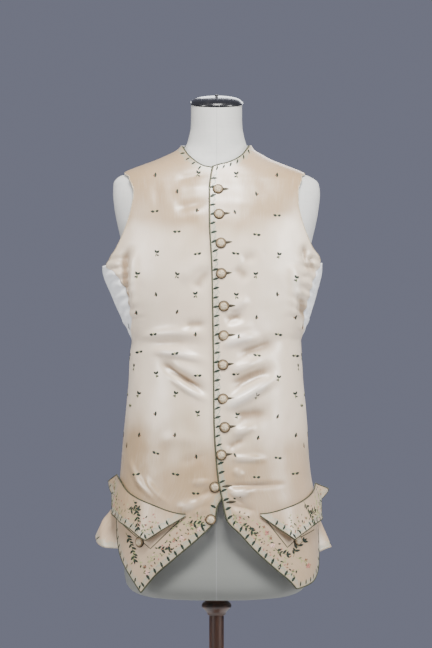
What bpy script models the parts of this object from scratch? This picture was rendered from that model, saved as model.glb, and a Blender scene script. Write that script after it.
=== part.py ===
"""Embroidered waistcoat on a limbless dress form with a turned wooden stand.

Metres, +Z up. The garment faces -Y, so the wearer's right side is at -X. The floor is z = 0 and
the stand's axis is x = y = 0. Cloth is a wall that follows the level sections of the garment;
a place on it is a height and an angle, 0 at centre front, 90 at the side and 180 at centre back.
"""

import math
from collections import namedtuple

import bmesh
import bpy
from mathutils import Matrix, Vector

NAME = "embroidered_waistcoat"

# ---- driving dimensions -------------------------------------------------------------------
FRONT_WALL = 0.0016      # silk satin, interlining and linen lining together
BACK_WALL = 0.0012       # linen, two layers
FLAP_WALL = 0.0016
SEAM_GAP = 0.0008        # between pieces that are sewn edge to edge
LAYER_GAP = 0.0007       # between layers that lie on each other
REST_GAP = 0.0003        # between hard pieces that rest on each other

BUTTON_WIDE = 0.0158
BUTTON_HIGH = 0.0058
FORM_SIDES = 32
TURNED_SIDES = 28
BUTTON_SIDES = 12

COLLAR_TOP = 0.6093      # underside of the form less the resting gap
COLLAR_HIGH = 0.0333
POST_RADIUS = 0.0138
FOOT_RADIUS = 0.175
FOOT_HIGH = 0.046
NECK_TOP = 1.5305        # middle of the tilted cut at the top of the neck
NECK_TILT = 12.0         # degrees, the cap looks slightly forward
CAP_RADIUS = 0.0480
CAP_HIGH = 0.0140

# ---- level sections -----------------------------------------------------------------------
# z, half width on the wearer's right and left, reach to the front and to the back of the
# widest line, place of the widest line in y, and roundness (2 is an ellipse, more is squarer)
Section = namedtuple("Section", "z right left front back middle round")

FORM = [
    Section(0.6100, 0.112, 0.112, 0.064, 0.070, 0.000, 2.2),
    Section(0.6125, 0.131, 0.131, 0.078, 0.084, 0.000, 2.2),
    Section(0.6170, 0.147, 0.147, 0.088, 0.095, 0.000, 2.2),
    Section(0.6245, 0.160, 0.160, 0.096, 0.104, 0.000, 2.2),
    Section(0.6390, 0.1695, 0.1695, 0.102, 0.112, 0.000, 2.2),
    Section(0.6600, 0.1725, 0.1725, 0.105, 0.116, 0.000, 2.2),
    Section(0.7200, 0.1730, 0.1730, 0.107, 0.120, 0.000, 2.2),
    Section(0.8000, 0.1710, 0.1710, 0.108, 0.120, 0.000, 2.2),
    Section(0.9000, 0.1630, 0.1630, 0.106, 0.112, 0.000, 2.2),
    Section(1.0000, 0.1530, 0.1530, 0.100, 0.093, 0.000, 2.2),
    Section(1.0880, 0.1460, 0.1460, 0.095, 0.080, 0.000, 2.2),
    Section(1.1700, 0.1550, 0.1550, 0.103, 0.087, 0.000, 2.2),
    Section(1.2400, 0.1690, 0.1690, 0.110, 0.099, 0.000, 2.2),
    Section(1.2750, 0.1780, 0.1780, 0.110, 0.103, 0.000, 2.2),
    Section(1.3370, 0.1910, 0.1910, 0.099, 0.105, 0.003, 2.2),
    Section(1.3640, 0.1935, 0.1935, 0.091, 0.102, 0.004, 2.15),
    Section(1.3820, 0.1930, 0.1910, 0.083, 0.097, 0.005, 2.1),
    Section(1.3940, 0.1850, 0.1780, 0.077, 0.091, 0.005, 2.1),
    Section(1.4040, 0.1575, 0.1480, 0.0722, 0.0862, 0.005, 2.1),
    Section(1.4180, 0.1240, 0.1140, 0.066, 0.078, 0.005, 2.05),
    Section(1.4290, 0.0960, 0.0880, 0.061, 0.072, 0.005, 2.0),
    Section(1.4400, 0.0715, 0.0665, 0.0567, 0.066, 0.003, 2.0),
    Section(1.4530, 0.0570, 0.0565, 0.053, 0.060, 0.001, 2.0),
    Section(1.4700, 0.0515, 0.0515, 0.050, 0.054, -0.001, 2.0),
    Section(1.4880, 0.0482, 0.0482, 0.048, 0.051, -0.002, 2.0),
    Section(1.5100, 0.0476, 0.0476, 0.047, 0.049, -0.003, 2.0),
]

GARMENT = [
    Section(0.6200, 0.184, 0.189, 0.1280, 0.1340, 0.000, 2.2),
    Section(0.6600, 0.186, 0.190, 0.1285, 0.1350, 0.000, 2.2),
    Section(0.7000, 0.187, 0.189, 0.1285, 0.1360, 0.000, 2.2),
    Section(0.7800, 0.183, 0.184, 0.1280, 0.1350, 0.000, 2.2),
    Section(0.8400, 0.1775, 0.1750, 0.1265, 0.1330, 0.000, 2.2),
    Section(0.8880, 0.1737, 0.1697, 0.1250, 0.1270, 0.000, 2.2),
    Section(0.9450, 0.1692, 0.1662, 0.1235, 0.1190, 0.000, 2.2),
    Section(1.0300, 0.1612, 0.1595, 0.1205, 0.1040, 0.000, 2.2),
    Section(1.0650, 0.1590, 0.1570, 0.1190, 0.0990, 0.000, 2.2),
    Section(1.0880, 0.1566, 0.1562, 0.1180, 0.0970, 0.000, 2.15),
    Section(1.1050, 0.1640, 0.1620, 0.1185, 0.0980, 0.000, 2.1),
    Section(1.1310, 0.1777, 0.1730, 0.1200, 0.1000, 0.000, 2.0),
    Section(1.1780, 0.1980, 0.1860, 0.1230, 0.1060, 0.000, 2.0),
    Section(1.2230, 0.2125, 0.1955, 0.1240, 0.1120, 0.000, 2.0),
    Section(1.2500, 0.2110, 0.1960, 0.1235, 0.1140, 0.000, 2.0),
    Section(1.2800, 0.2060, 0.1970, 0.1205, 0.1145, 0.001, 2.05),
    Section(1.3370, 0.1975, 0.1975, 0.1075, 0.1140, 0.003, 2.15),
    Section(1.3690, 0.1990, 0.1990, 0.0955, 0.1090, 0.004, 2.15),
    Section(1.3860, 0.1965, 0.1940, 0.0885, 0.1030, 0.005, 2.1),
    Section(1.3960, 0.1850, 0.1775, 0.0835, 0.0980, 0.005, 2.1),
    Section(1.4080, 0.1590, 0.1490, 0.0777, 0.0918, 0.005, 2.1),
    Section(1.4225, 0.1200, 0.1105, 0.0715, 0.0835, 0.005, 2.05),
    Section(1.4330, 0.0950, 0.0875, 0.0667, 0.0778, 0.005, 2.0),
    Section(1.4440, 0.0735, 0.0680, 0.0620, 0.0713, 0.003, 2.0),
    Section(1.4575, 0.0620, 0.0610, 0.0575, 0.0650, 0.001, 2.0),
    Section(1.4750, 0.0560, 0.0560, 0.0545, 0.0590, -0.001, 2.0),
]

# ---- the cut of the cloth -----------------------------------------------------------------
# One row for each place where an edge of a panel turns, from the hem up. inner_x is the edge
# nearer centre front, outer_angle the edge nearer the side, and steps the rows up to the next.
Cut = namedtuple("Cut", "inner_x inner_z outer_angle outer_z steps")

FRONT_RIGHT = [
    Cut(-0.1370, 0.6290, 47.0, 0.6285, 2),
    Cut(-0.1120, 0.6610, 57.0, 0.6570, 2),
    Cut(-0.0743, 0.6950, 71.5, 0.6950, 2),
    Cut(-0.0159, 0.7470, 84.0, 0.7470, 1),
    Cut(-0.0040, 0.7605, 88.0, 0.7605, 1),
    Cut(0.0015, 0.7880, 93.0, 0.7880, 1),
    Cut(0.0130, 0.8080, 96.5, 0.8080, 1),
    Cut(0.0250, 0.8400, 98.0, 0.8400, 4),
    Cut(0.0280, 0.9450, 97.0, 0.9450, 4),
    Cut(0.0270, 1.0500, 93.0, 1.0500, 2),
    Cut(0.0270, 1.0880, 86.0, 1.0880, 1),
    Cut(0.0265, 1.1050, 74.0, 1.1050, 1),
    Cut(0.0265, 1.1310, 62.0, 1.1310, 2),
    Cut(0.0260, 1.1900, 58.5, 1.1900, 1),
    Cut(0.0255, 1.2180, 61.5, 1.2140, 1),
    Cut(0.0250, 1.2370, 73.0, 1.2270, 1),
    Cut(0.0250, 1.2600, 62.5, 1.2560, 1),
    Cut(0.0240, 1.2900, 56.0, 1.2880, 2),
    Cut(0.0230, 1.3380, 50.5, 1.3380, 1),
    Cut(0.0220, 1.3640, 48.5, 1.3640, 1),
    Cut(0.0210, 1.3920, 56.0, 1.3920, 1),
    Cut(0.0190, 1.4040, 78.0, 1.4050, 1),
    Cut(-0.0230, 1.4110, 78.0, 1.4180, 1),
    Cut(-0.0410, 1.4225, 78.0, 1.4260, 1),
    Cut(-0.0530, 1.4340, 78.0, 1.4370, 1),
    Cut(-0.0620, 1.4500, 78.0, 1.4520, 0),
]

FRONT_LEFT = [
    Cut(0.1460, 0.6350, 50.0, 0.6345, 1),
    Cut(0.1340, 0.6500, 68.0, 0.6440, 1),
    Cut(0.1130, 0.6685, 80.0, 0.6650, 2),
    Cut(0.0660, 0.7118, 87.0, 0.7050, 1),
    Cut(0.0428, 0.7380, 90.0, 0.7350, 1),
    Cut(0.0186, 0.7640, 93.0, 0.7600, 1),
    Cut(0.0096, 0.8050, 96.0, 0.8050, 1),
    Cut(0.0038, 0.8330, 98.0, 0.8400, 1),
    Cut(0.0005, 0.8620, 98.0, 0.8620, 3),
    Cut(-0.0046, 0.9450, 97.0, 0.9450, 4),
    Cut(-0.0055, 1.0500, 95.0, 1.0500, 2),
    Cut(-0.0060, 1.0880, 90.0, 1.0880, 1),
    Cut(-0.0062, 1.1050, 82.0, 1.1050, 1),
    Cut(-0.0065, 1.1310, 71.0, 1.1310, 2),
    Cut(-0.0075, 1.1900, 67.5, 1.1900, 1),
    Cut(-0.0082, 1.2190, 70.5, 1.2160, 1),
    Cut(-0.0090, 1.2390, 78.0, 1.2330, 1),
    Cut(-0.0105, 1.2660, 62.5, 1.2640, 1),
    Cut(-0.0124, 1.2980, 55.0, 1.2930, 2),
    Cut(-0.0131, 1.3400, 48.0, 1.3400, 1),
    Cut(-0.0131, 1.3657, 47.5, 1.3657, 1),
    Cut(-0.0106, 1.3900, 56.5, 1.3920, 1),
    Cut(-0.0065, 1.4090, 78.0, 1.4045, 1),
    Cut(0.0190, 1.4160, 78.0, 1.4190, 1),
    Cut(0.0360, 1.4235, 78.0, 1.4270, 1),
    Cut(0.0485, 1.4340, 78.0, 1.4370, 1),
    Cut(0.0575, 1.4500, 78.0, 1.4520, 0),
]

# The back halves and the side skirts: both edges are angles.
Wrap = namedtuple("Wrap", "inner_angle inner_z outer_angle outer_z steps")

BACK_RIGHT = [
    Wrap(180.0, 0.7100, 128.0, 0.7150, 3),
    Wrap(180.0, 0.8420, 128.0, 0.8440, 1),
    Wrap(180.0, 0.8520, 98.0, 0.8450, 4),
    Wrap(180.0, 0.9450, 97.0, 0.9450, 4),
    Wrap(180.0, 1.0500, 93.0, 1.0500, 2),
    Wrap(180.0, 1.0880, 86.0, 1.0880, 1),
    Wrap(180.0, 1.1050, 74.0, 1.1050, 1),
    Wrap(180.0, 1.1310, 62.0, 1.1310, 2),
    Wrap(180.0, 1.1900, 58.5, 1.1900, 1),
    Wrap(180.0, 1.2180, 61.5, 1.2140, 1),
    Wrap(180.0, 1.2370, 73.0, 1.2270, 1),
    Wrap(180.0, 1.2460, 81.0, 1.2240, 1),
    Wrap(180.0, 1.2560, 90.0, 1.2235, 1),
    Wrap(180.0, 1.2680, 106.0, 1.2320, 1),
    Wrap(180.0, 1.2840, 118.0, 1.2560, 1),
    Wrap(180.0, 1.3080, 124.5, 1.2850, 2),
    Wrap(180.0, 1.3480, 127.0, 1.3340, 2),
    Wrap(180.0, 1.3860, 122.0, 1.3820, 1),
    Wrap(180.0, 1.4030, 111.0, 1.4005, 1),
    Wrap(180.0, 1.4110, 95.0, 1.4050, 1),
    Wrap(180.0, 1.4180, 78.0, 1.4050, 1),
    Wrap(180.0, 1.4280, 78.0, 1.4180, 1),
    Wrap(180.0, 1.4380, 78.0, 1.4260, 1),
    Wrap(180.0, 1.4480, 78.0, 1.4370, 1),
    Wrap(180.0, 1.4600, 78.0, 1.4520, 0),
]

BACK_LEFT = [
    Wrap(180.0, 0.7100, 128.0, 0.7150, 3),
    Wrap(180.0, 0.8420, 128.0, 0.8440, 1),
    Wrap(180.0, 0.8520, 98.0, 0.8450, 4),
    Wrap(180.0, 0.9450, 97.0, 0.9450, 4),
    Wrap(180.0, 1.0500, 95.0, 1.0500, 2),
    Wrap(180.0, 1.0880, 90.0, 1.0880, 1),
    Wrap(180.0, 1.1050, 82.0, 1.1050, 1),
    Wrap(180.0, 1.1310, 71.0, 1.1310, 2),
    Wrap(180.0, 1.1900, 67.5, 1.1900, 1),
    Wrap(180.0, 1.2190, 70.5, 1.2160, 1),
    Wrap(180.0, 1.2390, 78.0, 1.2330, 1),
    Wrap(180.0, 1.2470, 84.0, 1.2315, 1),
    Wrap(180.0, 1.2560, 90.0, 1.2315, 1),
    Wrap(180.0, 1.2680, 105.0, 1.2380, 1),
    Wrap(180.0, 1.2840, 117.0, 1.2600, 1),
    Wrap(180.0, 1.3080, 124.0, 1.2880, 2),
    Wrap(180.0, 1.3480, 127.0, 1.3340, 2),
    Wrap(180.0, 1.3860, 122.0, 1.3820, 1),
    Wrap(180.0, 1.4030, 111.0, 1.4005, 1),
    Wrap(180.0, 1.4110, 95.0, 1.4050, 1),
    Wrap(180.0, 1.4180, 78.0, 1.4045, 1),
    Wrap(180.0, 1.4280, 78.0, 1.4190, 1),
    Wrap(180.0, 1.4380, 78.0, 1.4270, 1),
    Wrap(180.0, 1.4480, 78.0, 1.4370, 1),
    Wrap(180.0, 1.4600, 78.0, 1.4520, 0),
]

# Skirt gores behind the front skirts: hem, top, and how far the fold stands out at the hem.
Gore = namedtuple("Gore", "angle hem_z top_z out")

GORE_RIGHT = [
    Gore(74.0, 0.7020, 0.8420, 0.000),
    Gore(84.0, 0.7030, 0.8420, 0.020),
    Gore(90.0, 0.7090, 0.8420, 0.034),
    Gore(96.0, 0.7205, 0.8420, 0.040),
    Gore(103.0, 0.7190, 0.8420, 0.030),
    Gore(112.0, 0.7130, 0.8420, 0.011),
    Gore(126.6, 0.7150, 0.8420, 0.002),
]

GORE_LEFT = [
    Gore(74.0, 0.6900, 0.8420, 0.000),
    Gore(84.0, 0.6890, 0.8420, 0.014),
    Gore(90.0, 0.6910, 0.8420, 0.024),
    Gore(96.0, 0.6990, 0.8420, 0.027),
    Gore(103.0, 0.7030, 0.8420, 0.022),
    Gore(112.0, 0.7100, 0.8420, 0.011),
    Gore(126.6, 0.7150, 0.8420, 0.002),
]

# Pocket flaps, from the inner corner round to the back: the sewn top edge, the free lower edge
# with its points, and how far the flap stands out there at its top and its lower edge.
Flap = namedtuple("Flap", "angle top_z hem_z top_out hem_out steps")

FLAP_RIGHT = [
    Flap(15.5, 0.7745, 0.7710, 0.0000, 0.0000, 3),
    Flap(39.5, 0.7920, 0.7250, 0.0004, 0.0080, 2),
    Flap(58.0, 0.8080, 0.7500, 0.0006, 0.0080, 2),
    Flap(78.0, 0.8310, 0.7640, 0.0010, 0.0070, 1),
    Flap(90.0, 0.8375, 0.7700, 0.0030, 0.0085, 1),
    Flap(96.0, 0.8310, 0.8000, 0.0110, 0.0110, 1),
    Flap(104.0, 0.8190, 0.8165, 0.0260, 0.0255, 0),
]

FLAP_LEFT = [
    Flap(23.0, 0.7745, 0.7710, 0.0000, 0.0000, 3),
    Flap(44.5, 0.7860, 0.7260, 0.0004, 0.0080, 2),
    Flap(62.0, 0.7990, 0.7480, 0.0006, 0.0080, 2),
    Flap(80.0, 0.8140, 0.7560, 0.0010, 0.0060, 1),
    Flap(90.0, 0.8210, 0.7640, 0.0030, 0.0070, 1),
    Flap(95.0, 0.8150, 0.7900, 0.0110, 0.0100, 1),
    Flap(102.0, 0.8040, 0.8015, 0.0300, 0.0295, 0),
]

# The fastening: places of the twelve buttons down the front, and of those on the skirts.
Button = namedtuple("Button", "x z layer")

FRONT_BUTTONS = [
    Button(0.0027, 1.3650, "overlap"),
    Button(0.0045, 1.3190, "overlap"),
    Button(0.0078, 1.2665, "overlap"),
    Button(0.0085, 1.2120, "overlap"),
    Button(0.0129, 1.1530, "overlap"),
    Button(0.0129, 1.0990, "overlap"),
    Button(0.0115, 1.0455, "overlap"),
    Button(0.0118, 0.9835, "overlap"),
    Button(0.0147, 0.9320, "overlap"),
    Button(0.0086, 0.8820, "overlap"),
    Button(-0.0031, 0.8235, "underlap"),
    Button(-0.0104, 0.7645, "underlap"),
]

POCKET_BUTTONS = {"right": Button(-0.1400, 0.7205, "skirt"), "left": Button(0.1480, 0.7235, "skirt")}

GORE_IN = -0.0046         # how far inside the front skirt the gore runs

OVERLAP_FROM = 0.060     # where the upper front starts to rise over the lower one
OVERLAP_FULL = 0.036     # and where it has risen by the lower one's wall and a gap


# ---- small helpers ------------------------------------------------------------------------
def blend(low, high, value):
    """0 below low, 1 above high, smooth between."""
    share = min(1.0, max(0.0, (value - low) / (high - low)))
    return share * share * (3.0 - 2.0 * share)


def between(rows, key, value):
    """The two table rows on either side of a value, and the share of the way between them."""
    for first, second in zip(rows, rows[1:]):
        if value <= getattr(second, key):
            break
    start, end = getattr(first, key), getattr(second, key)
    share = min(1.0, max(0.0, (value - start) / (end - start)))
    return first, second, share


def slope_at(sections, i):
    """How fast each number of a section changes with height, without overshoot at a row."""
    if i in (0, len(sections) - 1):
        return [0.0] * len(sections[i])
    below, here, above = sections[i - 1:i + 2]
    slopes = []
    for a, b, c in zip(below, here, above):
        down, up = (b - a) / (here.z - below.z), (c - b) / (above.z - here.z)
        slopes.append(2.0 * down * up / (down + up) if down * up > 0 else 0.0)
    return slopes


def section_at(sections, z):
    """The level section at a height, on a smooth curve through the table's rows."""
    first, second, share = between(sections, "z", z)
    i = sections.index(first)
    rise = second.z - first.z
    square, cube = share * share, share ** 3
    numbers = []
    for a, b, leave, arrive in zip(first, second, slope_at(sections, i), slope_at(sections, i + 1)):
        numbers.append(a + (b - a) * (3 * square - 2 * cube)
                       + rise * (leave * (share - 2 * square + cube) + arrive * (cube - square)))
    return Section(*numbers)._replace(z=z)


def on_surface(sections, angle, z, right):
    """The place at an angle and a height, on the wearer's right or left."""
    s = section_at(sections, z)
    half = s.right if right else s.left
    turn = math.radians(angle)
    power = 2.0 / s.round
    across = half * abs(math.sin(turn)) ** power
    reach = s.front if angle <= 90.0 else s.back
    along = reach * abs(math.cos(turn)) ** power
    x = (-across if right else across) * (1 if turn >= 0 else -1)
    y = s.middle + (-along if angle <= 90.0 else along)
    return Vector((x, y, z))


def outward(sections, angle, z, right):
    """The surface's outward direction, from its neighbours."""
    step, rise = 1.5, 0.004
    angle = min(178.4, max(-60.0, angle))
    across = on_surface(sections, angle + step, z, right) - on_surface(sections, angle - step, z, right)
    up = on_surface(sections, angle, z + rise, right) - on_surface(sections, angle, z - rise, right)
    normal = across.cross(up) if not right else up.cross(across)
    normal.normalize()
    return normal


def moved_out(sections, angle, z, right, out):
    return on_surface(sections, angle, z, right) + outward(sections, angle, z, right) * out


def angle_of(sections, x, z, right):
    """The angle of the place at x in front; past centre front it is negative."""
    s = section_at(sections, z)
    half = s.right if right else s.left
    sign = -1.0 if (x > 0) == right else 1.0
    share = min(1.0, abs(x) / half)
    return sign * math.degrees(math.asin(share ** (s.round / 2.0)))


def material(name, colour, roughness, metallic=0.0):
    made = bpy.data.materials.new(name)
    made.use_nodes = True
    shader = made.node_tree.nodes["Principled BSDF"]
    shader.inputs["Base Color"].default_value = (*colour, 1.0)
    shader.inputs["Roughness"].default_value = roughness
    shader.inputs["Metallic"].default_value = metallic
    return made


def add_object(name, mesh, paint):
    mesh.materials.clear()
    mesh.materials.append(paint)
    made = bpy.data.objects.new(name, mesh)
    parts.objects.link(made)
    return made


def sheet(name, grid, paint, wall, flip):
    """A cloth wall on a grid of places: an open surface that Solidify gives its thickness."""
    bm = bmesh.new()
    points = [[bm.verts.new(place) for place in row] for row in grid]
    for low, high in zip(points, points[1:]):
        for i in range(len(low) - 1):
            corners = (low[i], low[i + 1], high[i + 1], high[i])
            bm.faces.new(corners[::-1] if flip else corners)
    mesh = bpy.data.meshes.new(name)
    bm.to_mesh(mesh)
    bm.free()
    made = add_object(name, mesh, paint)
    solid = made.modifiers.new("wall", "SOLIDIFY")
    solid.thickness = wall
    solid.offset = 1.0
    return made


def rows_of(cuts):
    """The table's rows with the steps between them filled in."""
    filled = []
    for first, second in zip(cuts, cuts[1:]):
        for step in range(first.steps):
            share = step / first.steps
            filled.append([a + (b - a) * share for a, b in zip(first, second)])
    filled.append(list(cuts[-1]))
    return filled


# ---- cloth --------------------------------------------------------------------------------
def overlap_lift(x):
    """How far the wearer's left front stands off to pass over the right one."""
    return (FRONT_WALL + 1.7 * LAYER_GAP) * (1.0 - blend(OVERLAP_FULL, OVERLAP_FROM, x))


def front_panel(name, cuts, right, paint, columns):
    grid = []
    for inner_x, inner_z, outer_angle, outer_z, _ in rows_of(cuts):
        inner_angle = angle_of(GARMENT, inner_x, inner_z, right)
        gap = math.degrees(SEAM_GAP / 2 / 0.15)
        row = []
        for i in range(columns + 1):
            share = i / columns
            angle = inner_angle + (outer_angle - gap - inner_angle) * share
            z = inner_z + (outer_z - inner_z) * share
            place = on_surface(GARMENT, angle, z, right)
            lift = 0.0 if right else overlap_lift(place.x)
            row.append(moved_out(GARMENT, angle, z, right, lift))
        grid.append(row)
    return sheet(name, grid, paint, FRONT_WALL, right)


def back_panel(name, wraps, right, paint, columns):
    grid = []
    for inner_angle, inner_z, outer_angle, outer_z, _ in rows_of(wraps):
        s = section_at(GARMENT, inner_z)
        seam = math.degrees(SEAM_GAP / 2 / (s.right if right else s.left))
        gap = math.degrees(SEAM_GAP / 2 / 0.15)
        row = []
        for i in range(columns + 1):
            share = i / columns
            angle = (outer_angle + gap) + (inner_angle - seam - outer_angle - gap) * share
            z = outer_z + (inner_z - outer_z) * share
            row.append(on_surface(GARMENT, angle, z, right))
        grid.append(row)
    return sheet(name, grid, paint, BACK_WALL, right)


def gore(name, table, cuts, right, paint):
    """The pleated side of the skirts, which stands out behind the front skirt's edge."""
    rows, columns = 5, 14
    grid = []
    for level in range(rows + 1):
        up = level / rows
        row = []
        for i in range(columns + 1):
            angle = table[0].angle + (table[-1].angle - table[0].angle) * i / columns
            first, second, share = between(table, "angle", angle)
            g = Gore(*[a + (b - a) * share for a, b in zip(first, second)])
            z = g.hem_z + (g.top_z - g.hem_z) * up
            below, above, part = between(cuts, "outer_z", z)
            edge = below.outer_angle + (above.outer_angle - below.outer_angle) * part
            clear = blend(edge + 5.0, edge + 11.5, angle) * (1.0 - up) ** 1.1
            row.append(moved_out(GARMENT, angle, z, right, GORE_IN + (g.out - GORE_IN) * clear))
        grid.append(row)
    return sheet(name, grid, paint, BACK_WALL, right)


def flap(name, table, right, paint):
    """A pointed pocket flap, made from the front's own places and moved out."""
    levels = 4
    base = FRONT_WALL + 2 * LAYER_GAP
    columns = rows_of(table)
    grid = []
    for level in range(levels + 1):
        down = 1.0 - level / levels
        row = []
        for angle, top_z, hem_z, top_out, hem_out, _ in columns:
            z = top_z + (hem_z - top_z) * down
            out = base + top_out + (hem_out - top_out) * down
            row.append(moved_out(GARMENT, angle, z, right, out))
        grid.append(row)
    return sheet(name, grid, paint, FLAP_WALL, right)


# ---- form and stand -----------------------------------------------------------------------
def ring(sections, z, sides, lean=0.0):
    s = section_at(sections, z)
    places = []
    for i in range(sides):
        turn = 360.0 * i / sides
        right = turn > 180.0
        angle = 360.0 - turn if right else turn
        place = on_surface(sections, angle, z, right)
        place.z += math.tan(math.radians(lean)) * (place.y - s.middle)
        places.append(place)
    return places


def form_torso(paint):
    bm = bmesh.new()
    rings = [[bm.verts.new(p) for p in ring(FORM, s.z, FORM_SIDES)] for s in FORM]
    rise = Vector((0.0, 0.0, NECK_TOP - FORM[-1].z))
    rings.append([bm.verts.new(p + rise) for p in ring(FORM, FORM[-1].z, FORM_SIDES, NECK_TILT)])
    for low, high in zip(rings, rings[1:]):
        for i in range(FORM_SIDES):
            j = (i + 1) % FORM_SIDES
            bm.faces.new((low[i], low[j], high[j], high[i]))
    bm.faces.new(rings[0][::-1])
    bm.faces.new(rings[-1])
    bmesh.ops.recalc_face_normals(bm, faces=bm.faces)
    mesh = bpy.data.meshes.new("form_torso")
    bm.to_mesh(mesh)
    bm.free()
    mesh.shade_smooth()
    return add_object("form_torso", mesh, paint)


def turned(name, profile, paint, place=(0.0, 0.0, 0.0), tilt=0.0):
    """A turned solid: its half outline, from the top down, spun round its axis."""
    bm = bmesh.new()
    line = [bm.verts.new((radius, 0.0, z)) for radius, z in profile]
    for first, second in zip(line, line[1:]):
        bm.edges.new((first, second))
    mesh = bpy.data.meshes.new(name)
    bm.to_mesh(mesh)
    bm.free()
    made = add_object(name, mesh, paint)
    spin = made.modifiers.new("turn", "SCREW")
    spin.steps = TURNED_SIDES
    spin.render_steps = TURNED_SIDES
    spin.use_merge_vertices = True
    spin.merge_threshold = 0.0001
    made.location = place
    made.rotation_euler = (math.radians(tilt), 0.0, 0.0)
    return made


def neck_cap(paint):
    rim = 0.0035
    profile = [(0.0, CAP_HIGH)]
    for i in range(1, 7):
        turn = math.radians(15.0 * i)
        radius = CAP_RADIUS * 0.985 * math.sin(turn) ** 0.8
        profile.append((radius, rim + (CAP_HIGH - rim) * math.cos(turn)))
    profile += [(CAP_RADIUS + 0.0016, rim), (CAP_RADIUS + 0.0016, 0.0), (0.0, 0.0)]
    middle = FORM[-1].middle + (FORM[-1].back - FORM[-1].front) / 2
    return turned("neck_cap", profile, paint, (0.0, middle, NECK_TOP + 2 * REST_GAP), NECK_TILT)


def cap_knob(paint):
    profile = [(0.0, 0.0040), (0.0022, 0.0036), (0.0034, 0.0022), (0.0034, 0.0), (0.0, 0.0)]
    middle = FORM[-1].middle + (FORM[-1].back - FORM[-1].front) / 2
    up = Matrix.Rotation(math.radians(NECK_TILT), 3, "X") @ Vector((0.0, 0.0, CAP_HIGH + REST_GAP))
    base = Vector((0.0, middle, NECK_TOP + 2 * REST_GAP))
    return turned("cap_knob", profile, paint, base + up, NECK_TILT)


def stand(wood):
    bottom = COLLAR_TOP - COLLAR_HIGH
    collar = [
        (0.0, COLLAR_TOP), (0.0225, COLLAR_TOP), (0.0215, COLLAR_TOP - 0.004), (0.0222, COLLAR_TOP - 0.008),
        (0.0262, COLLAR_TOP - 0.0115), (0.0280, COLLAR_TOP - 0.0155), (0.0268, COLLAR_TOP - 0.0195),
        (0.0225, COLLAR_TOP - 0.0235), (0.0180, COLLAR_TOP - 0.0285), (0.0166, bottom), (0.0, bottom),
    ]
    turned("stand_collar", collar, wood)
    top, low = bottom - REST_GAP, FOOT_HIGH + REST_GAP
    turned("stand_post", [(0.0, top), (POST_RADIUS, top), (POST_RADIUS, low), (0.0, low)], wood)
    foot = [
        (0.0, FOOT_HIGH), (0.024, FOOT_HIGH), (0.027, FOOT_HIGH - 0.006), (0.040, FOOT_HIGH - 0.012),
        (0.090, FOOT_HIGH - 0.016), (0.140, FOOT_HIGH - 0.020), (0.158, FOOT_HIGH - 0.024),
        (0.162, FOOT_HIGH - 0.030), (0.170, FOOT_HIGH - 0.032), (FOOT_RADIUS, FOOT_HIGH - 0.036),
        (FOOT_RADIUS, 0.003), (FOOT_RADIUS - 0.003, 0.0), (0.0, 0.0),
    ]
    turned("stand_foot", foot, wood)


# ---- buttons ------------------------------------------------------------------------------
def button(name, place, normal, paint):
    """A domed button with a flat back, facing along the cloth's outward direction."""
    radius = BUTTON_WIDE / 2
    profile = [(0.0, BUTTON_HIGH)]
    for i in range(1, 4):
        turn = math.radians(25.0 * i)
        profile.append((radius * math.sin(turn), 0.0012 + (BUTTON_HIGH - 0.0012) * math.cos(turn)))
    profile += [(radius, 0.0018), (radius * 0.8, 0.0), (0.0, 0.0)]
    made = turned(name, profile, paint)
    made.modifiers["turn"].steps = BUTTON_SIDES
    made.modifiers["turn"].render_steps = BUTTON_SIDES
    made.rotation_mode = "QUATERNION"
    made.rotation_quaternion = normal.to_track_quat("Z", "Y")
    made.location = place
    return made


def buttons(paint):
    for number, b in enumerate(FRONT_BUTTONS, 1):
        right = b.layer == "underlap" or b.x < 0
        angle = angle_of(GARMENT, b.x, b.z, right)
        normal = outward(GARMENT, angle, b.z, right)
        out = FRONT_WALL + LAYER_GAP + (overlap_lift(b.x) if b.layer == "overlap" else 0.0)
        place = on_surface(GARMENT, angle, b.z, right) + normal * out
        button(f"button_{number:02d}", place, normal, paint)
    for side, b in POCKET_BUTTONS.items():
        right = side == "right"
        angle = angle_of(GARMENT, b.x, b.z, right)
        normal = outward(GARMENT, angle, b.z, right)
        place = on_surface(GARMENT, angle, b.z, right) + normal * (FRONT_WALL + LAYER_GAP)
        button(f"pocket_button_{side}", place, normal, paint)


# ---- build --------------------------------------------------------------------------------
for thing in list(bpy.data.objects):
    bpy.data.objects.remove(thing, do_unlink=True)

parts = bpy.data.collections.new(NAME)
bpy.context.scene.collection.children.link(parts)

satin = material("silk_satin", (0.72, 0.64, 0.53), 0.38)
linen = material("back_linen", (0.78, 0.79, 0.80), 0.85)
canvas = material("form_cover", (0.66, 0.68, 0.66), 0.75)
black = material("cap_enamel", (0.012, 0.012, 0.014), 0.25)
wood = material("stand_wood", (0.10, 0.045, 0.022), 0.35)
covered = material("button_silk", (0.66, 0.57, 0.44), 0.5)

form_torso(canvas)
neck_cap(black)
cap_knob(black)
stand(wood)
front_panel("front_right", FRONT_RIGHT, True, satin, 13)
front_panel("front_left", FRONT_LEFT, False, satin, 13)
back_panel("back_right", BACK_RIGHT, True, linen, 11)
back_panel("back_left", BACK_LEFT, False, linen, 11)
gore("skirt_gore_right", GORE_RIGHT, FRONT_RIGHT, True, satin)
gore("skirt_gore_left", GORE_LEFT, FRONT_LEFT, False, satin)
flap("pocket_flap_right", FLAP_RIGHT, True, satin)
flap("pocket_flap_left", FLAP_LEFT, False, satin)
buttons(covered)
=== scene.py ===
# %% [markdown]
# # An embroidered waistcoat on a dress form
# A man's silk waistcoat of the later eighteenth century, shown on a form with a turned stand.
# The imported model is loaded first: it is the fixed frame, and every place below comes from it or
# from the same level sections that shaped it. The garment faces -Y and stands on z = 0.

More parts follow.
